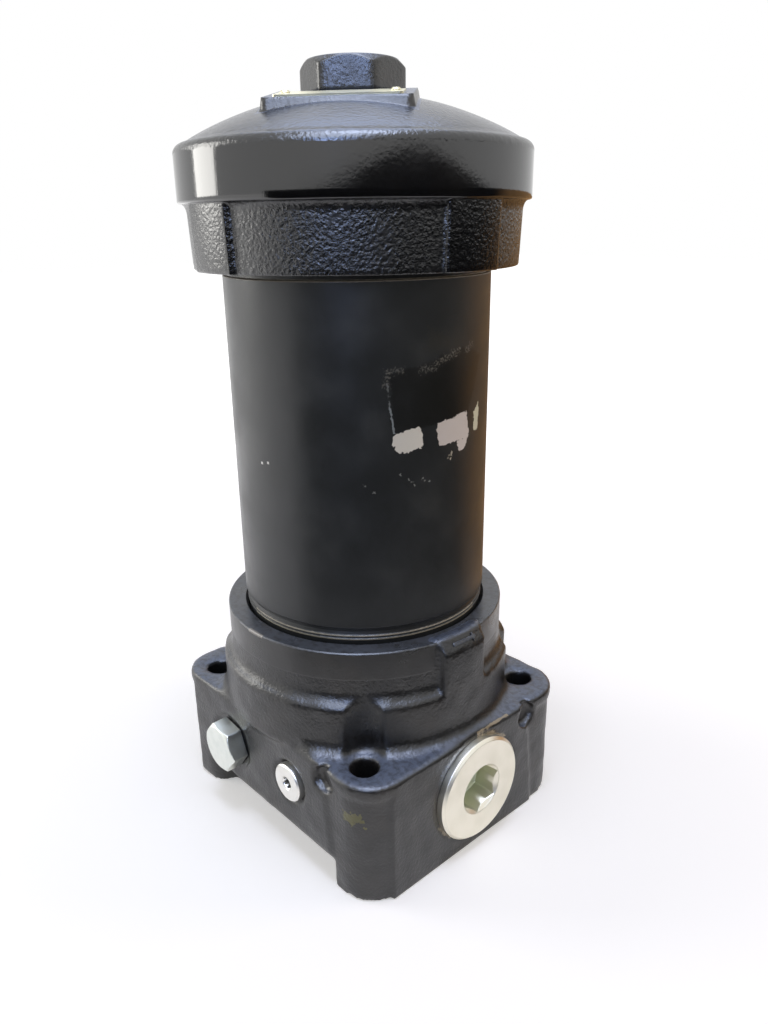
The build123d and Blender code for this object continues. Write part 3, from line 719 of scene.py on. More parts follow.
@dataclass
class Piece:
    """A finished mesh piece and what it stands for."""

    name: str
    material: bpy.types.Material
    slot: Slot
    body: Body = Body.ROOT
    replaces: tuple[str, ...] = ()

    def build(self, points: np.ndarray, faces: np.ndarray, uv: np.ndarray | None = None,
              values: dict[str, np.ndarray] | None = None) -> bpy.types.Object:
        """Makes the object from points in millimetres.

        Args:
            points: N by 3 points.
            faces: M by 4 corner numbers.
            uv: N by 2 coordinates for the flat map, if any.
            values: Attribute name to N values.

        Returns:
            The object, riding on its body.
        """
        mesh = new_mesh(self.name, points * MM, faces)
        for name, numbers in (values or {}).items():
            layer = mesh.attributes.new(name, "FLOAT", "POINT")
            layer.data.foreach_set("value", numbers.astype(np.float32).ravel())
        if uv is not None:
            self.lay_map(mesh, uv)
        self.clean(mesh)
        thing = add_object(self.name, mesh)
        mesh.materials.append(self.material)
        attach(thing, self.body.value)
        if self.replaces:
            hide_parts(*self.replaces)
        LOG.info("%s: %d faces on %s", self.name, len(mesh.polygons), self.body.value)
        return thing

    @staticmethod
    def lay_map(mesh: bpy.types.Mesh, uv: np.ndarray) -> None:
        """Lays the flat map; a face over the seam has its low corners moved up by a full turn.

        Args:
            mesh: The mesh, of quads.
            uv: N by 2 coordinates.
        """
        corners = uv[read_mesh(mesh)[1]].reshape(-1, 4, 2)
        across, full = corners[..., 0], np.ptp(uv[:, 0])
        across += full * (across < across.max(axis=1, keepdims=True) - full / 2)
        layer = mesh.uv_layers.new(name=FLAT_MAP)
        layer.data.foreach_set("uv", corners.astype(np.float32).ravel())

    @staticmethod
    def clean(mesh: bpy.types.Mesh) -> None:
        """Closes seams and poles, drops empty faces, turns faces outwards, shades them smooth.

        Args:
            mesh: The mesh.
        """
        work = bmesh.new()
        work.from_mesh(mesh)
        bmesh.ops.remove_doubles(work, verts=work.verts, dist=2e-6)
        bmesh.ops.dissolve_degenerate(work, edges=work.edges, dist=1e-7)
        loose = [edge for edge in work.edges if not edge.link_faces]
        bmesh.ops.delete(work, geom=loose, context="EDGES")
        bmesh.ops.recalc_face_normals(work, faces=work.faces)
        work.to_mesh(mesh)
        work.free()
        mesh.polygons.foreach_set("use_smooth", np.ones(len(mesh.polygons), bool))
        mesh.update()


# Sub-assemblies


@dataclass
class HeadCasting:
    """Cast head: the form of its nodes with the soft edges and skin of a sand casting."""

    enamel: bpy.types.Material
    nodes: tuple[str, ...] = ("head_casting", "head_drum")
    joint_z: float = 79.0
    voxel: float = 1.58
    smooth_rounds: int = 2
    smooth_pull: float = 0.6
    smooth_push: float = 0.35
    skin: float = 0.10
    skin_size: float = 16.0
    skin_waves: int = 24
    skin_seed: int = 5
    foot_z: float = 0.6
    collar_r: float = 82.0
    collar_z: float = 104.0
    bore_r: float = 73.0
    bore_z: float = 73.0

    def build(self) -> bpy.types.Object:
        """Builds the casting.

        Returns:
            The piece that stands for the head's nodes.
        """
        points, faces = self.soft_copy()
        points = self.with_skin(self.smoothed(points, faces), faces)
        piece = Piece("head_casting_body", self.enamel, Slot.CASTING, Body.ROOT, self.nodes)
        return piece.build(points, faces)

    def triangles(self) -> np.ndarray:
        """Triangles of the nodes, without those that lie where the nodes meet.

        Returns:
            M by 3 by 3 corners in metres.
        """
        meshes = [read_mesh(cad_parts[name].data) for name in self.nodes]
        found = np.concatenate([points[corners].reshape(-1, 3, 3) for points, corners in meshes])
        return found[~(np.abs(found[:, :, 2] - self.joint_z * MM) < 5e-6).all(axis=1)]

    def soft_copy(self) -> tuple[np.ndarray, np.ndarray]:
        """Even quads over the form of all the nodes together.

        Returns:
            Points in millimetres and quads.
        """
        corners = self.triangles().reshape(-1, 3)
        triples = np.arange(len(corners)).reshape(-1, 3)
        copy = add_object("casting_work", new_mesh("casting_work", corners, triples))
        copy.modifiers.new("weld", "WELD").merge_threshold = 1e-6
        remesh = copy.modifiers.new("remesh", "REMESH")
        remesh.mode = "VOXEL"
        remesh.voxel_size = self.voxel * MM
        bpy.context.view_layer.update()
        shape = copy.evaluated_get(bpy.context.evaluated_depsgraph_get()).to_mesh()
        points, corners = read_mesh(shape)
        bpy.data.objects.remove(copy)
        return points / MM, corners.reshape(-1, 4)

    @staticmethod
    def neighbour_mean(values: np.ndarray, faces: np.ndarray) -> np.ndarray:
        """Mean of each point's neighbours along the quads' edges.

        Args:
            values: N by 3 points.
            faces: The quads.

        Returns:
            N by 3 means.
        """
        first, second = faces.ravel(), np.roll(faces, -1, axis=1).ravel()
        size = len(values)
        total = np.stack([np.bincount(first, column[second], size)
                          + np.bincount(second, column[first], size) for column in values.T], 1)
        count = np.bincount(first, minlength=size) + np.bincount(second, minlength=size)
        return total / count[:, None]

    def smoothed(self, points: np.ndarray, faces: np.ndarray) -> np.ndarray:
        """Edges rounded by moving points towards their neighbours' mean and partly back.

        Args:
            points: N by 3 points.
            faces: The quads.

        Returns:
            The moved points.
        """
        for _ in range(self.smooth_rounds):
            for share in (self.smooth_pull, -self.smooth_push):
                points = points + share * (self.neighbour_mean(points, faces) - points)
        return points

    def with_skin(self, points: np.ndarray, faces: np.ndarray) -> np.ndarray:
        """Long low waves of a sand mould on the cast outside, none in the bore or on the foot.

        Args:
            points: N by 3 points.
            faces: The quads.

        Returns:
            The points moved along their normals.
        """
        a, b, c, d = (points[faces[:, i]] for i in range(4))
        corners = faces.ravel()
        normal = unit(np.stack([np.bincount(corners, np.repeat(column, 4), len(points))
                                for column in np.cross(c - a, d - b).T], axis=1))
        radius, height = np.hypot(points[:, 0], points[:, 1]), points[:, 2]
        turned = (radius < self.collar_r) & (height > self.collar_z)
        inside = (radius < self.bore_r) & (height > self.bore_z)
        cast = (height > self.foot_z) & ~turned & ~inside
        waves = waviness(points, self.skin_size, self.skin_waves, self.skin_seed)
        return points + normal * (waves * self.skin * cast)[:, None]


@dataclass
class CollarRing:
    """Turned top of the head's collar, crisp, its edge bright with wear and a painted highlight.
    """

    enamel: bpy.types.Material
    outer_r: float = 80.56
    low_z: float = 112.0
    top_z: float = 130.34
    edge: float = 0.6
    bore_r: float = 69.06
    mouth: float = 1.6
    wear_and_highlight_reach: float = 0.75
    turns: int = 360

    def build(self) -> bpy.types.Object:
        """Builds the ring as a turned outline; an attribute, one on the outer edge, marks wear and
        painted highlight.

        Returns:
            The piece.
        """
        corners = np.array([
            (self.bore_r, self.low_z), (self.outer_r - 0.5, self.low_z),
            (self.outer_r, self.low_z + 3.0), (self.outer_r, self.top_z - self.edge),
            (self.outer_r - self.edge, self.top_z), (self.bore_r + self.mouth, self.top_z),
            (self.bore_r, self.top_z - self.mouth)])
        outline = rounded_profile(corners, np.array([0.1, 0.1, 3.0, 0.4, 0.4, 0.2, 0.2]), 4)
        radius, height = outline.T
        turn = turn_angles(self.turns)
        middle = np.hypot(radius - self.outer_r + 0.3, height - self.top_z + 0.3)
        # The outer edge gets wear and a painted highlight in one bluish grey.
        values = {"wear_and_highlight": joined(turn, middle < self.wear_and_highlight_reach)}
        piece = Piece("collar_ring", self.enamel, Slot.CASTING)
        faces = grid_faces(self.turns, len(outline))
        return piece.build(lathe_points(radius, height, turn), faces, None, values)


@dataclass
class FlowArrow:
    """Raised arrow cast on the slope over the collar's boss, with drafted sides."""

    enamel: bpy.types.Material
    turn: float = -1.6
    low_r: float = 85.4
    low_z: float = 123.8
    high_r: float = 80.5
    high_z: float = 131.5
    rise: float = 0.7
    length: float = 17.0
    shaft: float = 1.9
    head: float = 5.6

    def build(self) -> bpy.types.Object:
        """Builds the arrow: rings of its outline shrink towards its head's middle as they rise.

        Its length goes round the drum and its height up the slope.

        Returns:
            The piece.
        """
        half, shaft, head = self.length / 2, self.shaft / 2, self.head / 2
        corners = np.array([(half, 0.0), (half - head, head), (half - head, shaft),
                            (-half, shaft), (-half, -shaft), (half - head, -shaft),
                            (half - head, -head)])
        outline = rounded_profile(corners, np.full(7, 0.4), 3)
        centre = np.array([half - head * 0.95, 0.0])
        share = np.array([0.0, 1.0, 1.03, 1.0, 0.95, 0.9, 0.0])
        rise = np.array([-1.0, -1.0, -1.0, 0.75, 0.97, 1.0, 1.0]) * self.rise
        flat = centre + (outline[:, None] - centre) * share[None, :, None]
        along, up = flat[..., 0], flat[..., 1]
        out, tall = self.low_r - self.high_r, self.high_z - self.low_z
        slope = math.hypot(out, tall)
        radius = (self.low_r + self.high_r) / 2 - up * out / slope + rise * tall / slope
        height = (self.low_z + self.high_z) / 2 + up * tall / slope + rise * out / slope
        turn = math.radians(self.turn) + along / self.low_r
        points = np.stack([radius * np.cos(turn), radius * np.sin(turn), height], axis=-1)
        piece = Piece("flow_arrow", self.enamel, Slot.CASTING)
        return piece.build(points, grid_faces(*flat.shape[:2]))


@dataclass
class BowlTube:
    """Steel bowl tube, screwed into the head at its foot and into the cap at its top."""

    paint: bpy.types.Material
    outer_r: float = 69.85
    wall: float = 8.85
    foot_z: float = 85.0
    foot_neck_r: float = 69.0
    thread_low_z: float = 131.5
    thread_top_z: float = 136.2
    thread_pitch: float = 2.0
    thread_depth: float = 0.55
    relief_r: float = 67.95
    shoulder_z: float = 139.0
    cap_shoulder_z: float = 312.6
    cap_neck_r: float = 68.05
    cap_thread_low_z: float = 318.0
    cap_thread_high_z: float = 337.0
    top_z: float = 350.0
    chamfer: float = 1.2
    seal_z: float = 92.0
    seal_height: float = 5.3
    seal_depth: float = 3.1
    turns: int = 288

    def build(self) -> bpy.types.Object:
        """Builds the tube as one turned surface with real thread crests.

        Returns:
            The piece that stands for the tube.
        """
        turn = turn_angles(self.turns)
        radius, height = self.outline().T
        piece = Piece("bowl_tube_body", self.paint, Slot.TUBE, Body.ROOT, ("bowl_tube",))
        return piece.build(lathe_points(radius, height, turn), grid_faces(self.turns, len(height)),
                           flat_map(turn, self.outer_r, height))

    def crests(self, low: float, high: float, crest_r: float) -> np.ndarray:
        """Thread crests: two corners at the crest and two at the root in each pitch.

        Args:
            low: Height where they start.
            high: Height where they end.
            crest_r: Radius of the crests.

        Returns:
            Points of radius and height.
        """
        count = int((high - low) / self.thread_pitch)
        start = low + self.thread_pitch * np.arange(count)[:, None]
        rise = self.thread_pitch * np.array([0.0, 0.2, 0.5, 0.7])
        radius = crest_r - self.thread_depth * np.array([1.0, 0.0, 0.0, 1.0])
        radii = np.broadcast_to(radius, (count, 4))
        return np.stack([radii, start + rise], axis=-1).reshape(-1, 2)

    def outline(self) -> np.ndarray:
        """Outline of the wall, up the outside and down the bore.

        Returns:
            Points of radius and height.
        """
        outer, inner, neck = self.outer_r, self.outer_r - self.wall, self.foot_neck_r
        low, high = self.seal_z - self.seal_height / 2, self.seal_z + self.seal_height / 2
        groove_r, slant = neck - self.seal_depth, self.chamfer
        foot = [(inner, self.foot_z), (neck - slant, self.foot_z), (neck, self.foot_z + slant),
                (neck, low), (groove_r, low), (groove_r, high), (neck, high)]
        relief = [(self.relief_r, self.thread_top_z + 0.3),
                  (self.relief_r, self.shoulder_z - 0.2), (outer, self.shoulder_z),
                  (outer, self.cap_shoulder_z), (self.cap_neck_r, self.cap_shoulder_z)]
        top = [(self.cap_neck_r, self.cap_thread_high_z + 1.0),
               (self.cap_neck_r, self.top_z - slant), (self.cap_neck_r - slant, self.top_z),
               (inner, self.top_z)]
        corners = np.concatenate([
            foot, self.crests(self.thread_low_z, self.thread_top_z, neck), relief,
            self.crests(self.cap_thread_low_z, self.cap_thread_high_z, self.cap_neck_r), top])
        radii = np.where(np.isclose(corners[:, 0], outer), 0.5, 0.12)
        return rounded_profile(corners, radii, 3)


@dataclass
class CapCasting:
    """Cast cap: dome, band and skirt with four lugs, under a cast hexagon and a tag pad."""

    enamel: bpy.types.Material
    boss_enamel: bpy.types.Material
    dome_r: float = 84.0
    skirt_z: float = 315.4
    band_z: float = 346.3
    band_top_z: float = 368.8
    band_r: float = 88.9
    skirt_low_r: float = 86.1
    skirt_high_r: float = 87.4
    recess: float = 2.6
    cove_height: float = 5.0
    lug_half_angle: float = 11.0
    lug_turn: float = -2.5
    lug_edge: float = 1.1
    bore_r: float = 68.35
    bore_top_z: float = 350.3
    cavity_r: float = 60.0
    roof_z: float = 376.0
    seal_z: float = 341.0
    seal_half: float = 2.65
    seal_depth: float = 3.4
    dome_rough: float = 0.6
    band_rough: float = 0.02
    skirt_rough: float = 0.45
    recess_rough: float = 0.5
    hex_turn: float = -47.5
    hex_af: float = 46.0
    hex_low_z: float = 394.8
    hex_top_z: float = 410.2
    neck_r: float = 22.0
    pad_front: float = 54.0
    pad_half_width: float = 33.5
    pad_shift: float = -1.0
    pad_front_z: float = 388.6
    pad_tilt: float = 10.5
    pad_corner: float = 3.0
    turns: int = 720
    hex_turns: int = 360

    def dome_z(self, radius: np.ndarray) -> np.ndarray:
        """Height of the dome at a radius: a smooth curve through measured heights.

        Args:
            radius: Radii.

        Returns:
            The heights, level past the dome's rim.
        """
        known_r = np.array([0.0, 15.0, 30.0, 42.0, 50.0, 60.0, 70.0, 78.0, 84.0])
        known_z = np.array([393.2, 393.1, 392.4, 390.4, 387.9, 384.5, 380.5, 376.4, 373.1])
        curve = np.polynomial.Polynomial.fit(known_r, known_z, 5)
        return curve(np.clip(radius, 0.0, self.dome_r))

    @staticmethod
    def under_round(outer_r: float, low_z: float, size: float, start: float,
                    count: int) -> np.ndarray:
        """Rounded lower edge: a quarter circle from the side to the underside.

        Args:
            outer_r: Radius of the side.
            low_z: Height of the underside.
            size: Radius of the round.
            start: Share of the quarter that is left out.
            count: Number of points.

        Returns:
            Points of radius and height.
        """
        swing = np.linspace(start, 1.0, count) * np.pi / 2
        return np.stack([outer_r - size + size * np.cos(swing),
                         low_z + size - size * np.sin(swing)], axis=1)

    def outline(self) -> tuple[np.ndarray, np.ndarray]:
        """Outline of the cap's wall and where its lower half is cut back between the lugs.

        Returns:
            Points of radius and height, and for each the depth of the recess there.
        """
        dome_r = np.linspace(0.0, self.dome_r, 40)
        swing = np.linspace(0.12, 1.0, 8) * np.pi / 2
        edge = np.stack([self.dome_r + 4.9 * np.sin(swing),
                         self.band_top_z + 4.3 * np.cos(swing) ** 1.15], axis=1)
        band_z = np.linspace(self.band_top_z - 1.0, self.band_z + 1.2, 8)
        solid = np.concatenate([np.stack([dome_r, self.dome_z(dome_r)], axis=1), edge,
                                np.stack([np.full(8, self.band_r), band_z], axis=1),
                                self.under_round(self.band_r, self.band_z, 1.2, 0.0, 5)])
        cove_z = self.band_z - self.cove_height
        skirt_z = np.concatenate([np.linspace(self.band_z - 0.05, cove_z, 9),
                                  np.linspace(cove_z - 1.5, self.skirt_z + 0.9, 12)])
        share = (self.band_z - skirt_z) / (self.band_z - self.skirt_z)
        taper = self.skirt_low_r - self.skirt_high_r
        skirt = np.stack([self.skirt_high_r + taper * share, skirt_z], axis=1)
        cove = np.clip((self.band_z - skirt_z) / self.cove_height, 0.0, 1.0)
        depth = self.recess * np.sqrt(np.clip(1 - (1 - cove) ** 2, 0.0, 1.0))
        foot = self.under_round(self.skirt_low_r, self.skirt_z, 0.9, 0.2, 4)
        bore, groove_r = self.bore_r, self.bore_r + self.seal_depth
        low, high = self.seal_z - self.seal_half, self.seal_z + self.seal_half
        inside = np.array([
            (bore + 2.0, self.skirt_z), (bore, self.skirt_z + 2.0), (bore, low),
            (groove_r, low), (groove_r, high), (bore, high), (bore, self.bore_top_z),
            (self.cavity_r, self.bore_top_z), (self.cavity_r, self.bore_top_z + 10.0),
            (48.0, self.roof_z - 7.0), (24.0, self.roof_z), (0.0, self.roof_z)])
        cut = np.concatenate([np.zeros(len(solid)), depth, np.full(len(foot), self.recess),
                              np.zeros(len(inside))])
        return np.concatenate([solid, skirt, foot, inside]), cut

    def build(self) -> list[bpy.types.Object]:
        """Builds the cap's shell, hexagon and tag pad."""
        return [self.shell(), self.hexagon(), self.pad()]

    def shell(self) -> bpy.types.Object:
        """Turned shell whose skirt steps in between the lugs.

        The step is the recess times a smooth step of the angle past the nearest lug's side. The
        attribute says how rough the casting is: least on the turned band.

        Returns:
            The piece that stands for the cap.
        """
        turn = turn_angles(self.turns)
        outline, cut = self.outline()
        quarter = np.pi / 2
        off = (turn - math.radians(self.lug_turn) + quarter / 2) % quarter - quarter / 2
        arc = (np.abs(off) - math.radians(self.lug_half_angle)) * self.band_r
        between = smooth_step(np.clip(arc / (2 * self.lug_edge) + 0.5, 0.0, 1.0))[:, None]
        height = outline[:, 1]
        points = lathe_points(outline[:, 0] - cut * between, height, turn)
        skirt = (height < self.band_z) * self.skirt_rough
        plain = np.where(height > self.band_top_z - 0.5, self.dome_rough, self.band_rough + skirt)
        rough = np.clip(plain + self.recess_rough * (between * (cut > 0.4)), 0, 1.3)
        piece = Piece("cap_shell", self.enamel, Slot.CASTING, Body.CAP, ("cap_casting",))
        return piece.build(points, grid_faces(self.turns, len(outline)),
                           flat_map(turn, self.band_r, height), {"rough_casting": rough})

    def hexagon(self) -> bpy.types.Object:
        """Cast hexagon on its neck: a turned form whose radius is the lesser of hexagon and cone.

        Returns:
            The piece.
        """
        turn = turn_angles(self.hex_turns)
        low, high, flat, neck_r = self.hex_low_z, self.hex_top_z, self.hex_af / 2, self.neck_r
        neck = np.array([(0.0, 391.0), (neck_r + 3.4, 391.6), (neck_r + 1.6, 391.9),
                         (neck_r + 0.5, 392.6), (neck_r, 393.6), (neck_r - 0.1, low - 0.4)])
        tail = np.array([(flat - 1.2, high), (flat - 4.0, high), (2.7, high),
                         (2.5, high + 0.15), (1.4, high + 1.2), (0.8, high + 1.4),
                         (0.0, high + 1.4)])
        hex_z = np.concatenate([[low, low + 0.25, low + 0.9],
                                np.linspace(low + 2.0, high - 5.0, 6),
                                np.linspace(high - 4.4, high - 0.06, 13)])
        across = polygon_radius(turn, 6, self.hex_af, 1.6)
        under = np.interp(hex_z - low, [0.0, 0.25, 0.9], [0.9, 0.3, 0.0])
        body = smooth_least(across - under, flat - 0.5 + (high - hex_z), 0.18)
        radius = joined(turn, neck[:, 0], body, tail[:, 0])
        height = np.concatenate([neck[:, 1], hex_z, tail[:, 1]])
        points = lathe_points(radius, height, turn + math.radians(self.hex_turn))
        piece = Piece("cap_hexagon", self.boss_enamel, Slot.CASTING, Body.CAP)
        return piece.build(points, grid_faces(*radius.shape))

    def pad(self) -> bpy.types.Object:
        """Tag pad: the smooth greater of the dome and a tilted table with drafted sides.

        It is a height field over a grid, with a second sheet below and a wall round the two.

        Returns:
            The piece.
        """
        reach = self.pad_half_width + 5.0
        x, y = np.meshgrid(np.linspace(-reach, reach, 150) + self.pad_shift,
                           np.linspace(12.0, self.pad_front + 5.0, 110), indexing="ij")
        dome, corner = self.dome_z(np.hypot(x, y)), self.pad_corner
        table = self.pad_front_z + (self.pad_front - y) * math.tan(math.radians(self.pad_tilt))
        side, end = np.abs(x - self.pad_shift) - self.pad_half_width, y - self.pad_front
        past = np.hypot(np.maximum(side + corner, 0), np.maximum(end + corner, 0)) - corner
        past = np.maximum(past, np.maximum(side, end))
        raised = (table - dome) * (1 - smooth_step(np.clip(past / 0.9, 0.0, 1.0)))
        smooth = 0.5
        top = dome + smooth * np.logaddexp(0.0, raised / smooth)
        top = top - smooth * math.log(2.0) * np.clip(past, 0, 1)
        rim = np.minimum(np.minimum(x - x.min(), x.max() - x), y.max() - y)
        top = top - 0.35 * np.clip(1 - rim / 2.5, 0.0, 1.0) ** 2
        points = np.stack([[x, -y, top], [x, -y, dome - 3.0]]).transpose(0, 2, 3, 1)
        rows, columns = x.shape
        quads, offset = grid_faces(rows, columns, False), rows * columns
        ring = np.concatenate([np.arange(columns), np.arange(1, rows) * columns + columns - 1,
                               (rows - 1) * columns + np.arange(columns - 2, -1, -1),
                               np.arange(rows - 2, 0, -1) * columns])
        after = np.roll(ring, -1)
        wall = np.stack([ring, after, after + offset, ring + offset], axis=1)
        faces = np.concatenate([quads, quads[:, ::-1] + offset, wall])
        turn = Matrix.Rotation(math.radians(self.hex_turn + 90), 4, "Z")
        piece = Piece("cap_tag_pad", self.boss_enamel, Slot.CASTING, Body.CAP)
        return piece.build(placed(points.reshape(-1, 3), turn), faces)


@dataclass
class SocketPlug:
    """Turned plug with a hexagon socket, lying along an axis of the head."""

    name: str
    node: str
    zinc: bpy.types.Material
    place: Matrix
    head_r: float
    head_h: float
    chamfer: float
    neck_r: float
    neck_h: float
    thread_r: float
    thread_len: float
    socket_af: float
    socket_depth: float
    socket_turn: float = 0.0
    turns: int = 288

    def build(self) -> bpy.types.Object:
        """Builds the plug as one turned surface whose socket rows follow a hexagon.

        An attribute, one from the end of the socket's cone inwards, marks where painted shade
        darkens the socket.

        Returns:
            The piece that stands for the plug's node.
        """
        turn = turn_angles(self.turns)
        floor = self.head_h - self.socket_depth
        mouth_r = self.socket_af / math.sqrt(3) + 0.2
        end, low, top = -self.thread_len, -self.neck_h, self.head_h
        corners = np.array([
            (0.0, end), (self.thread_r - 1.0, end), (self.thread_r, end + 1.0),
            (self.thread_r, low), (self.neck_r, low), (self.neck_r, 0.0), (self.head_r, 0.0),
            (self.head_r, top - self.chamfer), (self.head_r - self.chamfer, top),
            (mouth_r + 0.2, top), (mouth_r, top - 0.2), (0.0, top - 0.2)])
        radii = np.array([0, 0.1, 0.1, 0.1, 0.1, 0.1, 0.3, 0.35, 0.35, 0.2, 0.1, 0])
        steps = 4
        on_axis = steps + 2
        outer = rounded_profile(corners, radii, steps)[on_axis:-on_axis]
        across = polygon_radius(turn - math.radians(self.socket_turn), 6, self.socket_af, 0.3)
        depth = np.linspace(0.0, mouth_r - self.socket_af / 2, 9)
        rows = np.array([(0.997, floor + 1.0), (0.99, floor + 0.3), (0.97, floor),
                         (0.6, floor - 0.2), (0.25, floor - 0.6), (0.0, floor - 0.7)])
        radius = joined(turn, np.zeros(1), outer[:, 0], np.maximum(across, mouth_r - depth),
                        across * rows[:, 0])
        height = np.concatenate([[end], outer[:, 1], top - depth - 0.2, rows[:, 1]])
        points = lathe_points(radius, height, turn).reshape(-1, 3)
        painted_socket_shade = joined(turn, np.arange(len(height)) >= len(outer) + len(depth) + 1)
        piece = Piece(self.name, self.zinc, Slot.ZINC, Body.ROOT, (self.node,))
        return piece.build(placed(points, self.place), grid_faces(*radius.shape), None,
                           {"painted_socket_shade": painted_socket_shade})


@dataclass
class HexPlug:
    """Hexagon head plug with a turned-down crown, over its washer."""

    zinc: bpy.types.Material
    place: Matrix
    across_flats: float = 27.0
    corner_share: float = 0.0774
    flat_turn: float = 22.7
    seat: float = 1.0
    height: float = 10.5
    crown: float = 1.6
    thread_r: float = 10.5
    thread_len: float = 16.0
    turns: int = 360

    def build(self) -> bpy.types.Object:
        """Builds the plug: its radius is the smooth smaller of a hexagon and the crown's cone.

        Returns:
            The piece that stands for the hexagon plug.
        """
        turn = turn_angles(self.turns)
        across = polygon_radius(turn - math.radians(self.flat_turn), 6, self.across_flats, 0.4)
        seat, top, flat = self.seat, self.seat + self.height, self.across_flats / 2
        heights = np.concatenate([[seat, seat + 0.1, seat + 0.6],
                                  np.linspace(seat + 2.0, top - 3.4, 4),
                                  np.linspace(top - 3.0, top - 0.1, 14)])
        steep = (self.across_flats * self.corner_share + 0.5) / self.crown
        body = smooth_least(across, flat - 0.5 + (top - heights) * steep, 0.12)
        end = -self.thread_len
        thread = np.array([(0.0, end), (self.thread_r - 1.0, end), (self.thread_r, end + 1.0),
                           (self.thread_r, seat - 0.02)])
        crown = np.array([(flat - 0.9, top), (flat - 3.0, top), (4.0, top), (0.0, top)])
        radius = joined(turn, thread[:, 0], body, crown[:, 0])
        height = np.concatenate([thread[:, 1], heights, crown[:, 1]])
        points = placed(lathe_points(radius, height, turn).reshape(-1, 3), self.place)
        node = "indicator_port_plug"
        piece = Piece(node + "_body", self.zinc, Slot.ZINC, Body.ROOT, (node,))
        return piece.build(points, grid_faces(*radius.shape))


@dataclass
class Studio:
    """Pale floor, soft lamps and the camera that stands where the photograph was taken."""

    camera_mm: Triple = (337.2, -289.7, 338.8)
    azimuth: float = 49.34
    yaw: float = 1.58
    pitch: float = 19.91
    roll: float = -0.84
    lens_mm: float = 28.57
    floor_colour: str = "#e9e7e6"
    floor_half_m: float = 6.0
    floor_drop_m: float = 0.0002
    dusk_reach_m: tuple[float, float] = (0.30, 1.3)
    dusk_span: tuple[float, float] = (-95.0, 150.0)
    dusk_wall_m: float = 0.355
    dusk_hump_m: float = 0.10
    dusk_hump_turn: float = -7.0
    dusk_hump_width: float = 50.0
    dusk_lift_m: float = 0.002
    dusk_columns: int = 124
    brown_from: float = 52.0
    brown_over: float = 16.0
    panel_aim_m: float = 0.38
    lamp_aim_m: float = 0.25
    world_level: float = 0.35
    # Each panel: name, place, size, glow and colour.
    panels: tuple[tuple[str, Triple, float, float, str], ...] = (
        ("panel_over", (0.2, -0.17, 1.5), 0.6, 11.0, "#d3e0ff"),
        ("panel_behind", (-0.36, 0.3, 1.5), 0.8, 3.2, "#cfdcfa"),
        ("panel_front", (0.62, -0.86, 0.68), 0.3, 13.0, "#a9c4ff"),
        ("panel_high", (0.5, -0.75, 1.35), 0.9, 7.0, "#d5e2ff"),
    )
    # Each lamp: name, place, width and height, power, colour and whether reflections see it.
    lamps: tuple[tuple[str, Triple, tuple[float, float], float, str, bool], ...] = (
        ("window_left", (-1.193, -0.909, 0.65), (0.6, 0.75), 8.6, "#fdfbf6", True),
        ("ceiling", (0.15, -0.15, 1.8), (0.5, 0.5), 12.0, "#dfe6ff", True),
        ("lamp_right", (0.9, 1.1, 0.5), (0.5, 0.5), 5.0, "#ffe2bf", False),
    )

    def camera(self) -> None:
        """Sets the camera up from its place, aim and roll.

        The aim is worked out in a frame turned by the azimuth, where the camera looks along +Y.
        """
        yaw, pitch, roll = (math.radians(v) for v in (self.yaw, self.pitch, self.roll))
        ahead = Vector((math.sin(yaw) * math.cos(pitch), math.cos(yaw) * math.cos(pitch),
                        -math.sin(pitch)))
        right = Vector((math.cos(yaw), -math.sin(yaw), 0.0))
        upward = right.cross(ahead)
        leaned_right = right * math.cos(roll) + upward * math.sin(roll)
        leaned_up = upward * math.cos(roll) - right * math.sin(roll)
        spin = Matrix.Rotation(math.radians(self.azimuth), 3, "Z")
        axes = Matrix([spin @ axis for axis in (leaned_right, leaned_up, -ahead)]).transposed()
        camera = add_object("camera", bpy.data.cameras.new("camera"))
        camera.data.lens = self.lens_mm
        camera.data.sensor_width = 36.0
        camera.data.clip_start = 0.01
        camera.matrix_world = Matrix.Translation(Vector(self.camera_mm) * MM) @ axes.to_4x4()
        bpy.context.scene.camera = camera

    def floor(self) -> None:
        """Lays the floor: a plain sheet that keeps the shadow and pales to white far away."""
        half = self.floor_half_m
        corners = np.array([(-1, -1, 0), (1, -1, 0), (1, 1, 0), (-1, 1, 0)]) * half
        corners[:, 2] = -self.floor_drop_m
        floor = add_object("floor", new_mesh("floor", corners, np.array([[0, 1, 2, 3]])))
        # Matt white that only the shadow darkens.
        graph = MaterialGraph("matt white studio floor")
        away = graph.vector("LENGTH", graph.place()).outputs["Value"]
        paling = graph.fade(away, 0.12, 1.1, 0.38, 1.0)
        glow = graph.math("MULTIPLY", graph.seen_directly(), paling)
        floor.data.materials.append(graph.finished({
            "Base Color": self.floor_colour, "Roughness": 0.9, "Specular IOR Level": 0.0,
            "Emission Color": "#ffffff", "Emission Strength": glow}))

    def dusk(self) -> None:
        """Puts up a dark sheet and low wall that only reflections see: painted shade for the
        room's unlit side, with a painted warm reflection on the right.

        The sheet lies between two radii over a range of angles. The wall on its outer rim is a
        plain height plus a bell curve of the angle.
        """
        degrees = np.linspace(*self.dusk_span, self.dusk_columns)
        off = (degrees - self.dusk_hump_turn) / self.dusk_hump_width
        wall = (self.dusk_wall_m + self.dusk_hump_m * np.exp(-off * off))[:, None]
        turn = np.radians(degrees)
        flat = np.linspace(*self.dusk_reach_m, 6)
        radius = np.append(flat, [self.dusk_reach_m[1]] * 2)
        height = joined(turn, np.full(len(flat), self.dusk_lift_m), 0.5 * wall, wall)
        points = lathe_points(radius, height, turn)
        sheet = self.mirrored_only("dusk", points, grid_faces(len(turn), len(radius), False))
        brown = np.clip((degrees - self.brown_from) / self.brown_over, 0.0, 1.0)
        layer = sheet.data.attributes.new("brown", "FLOAT", "POINT")
        layer.data.foreach_set("value", np.repeat(brown.astype(np.float32), len(radius)))
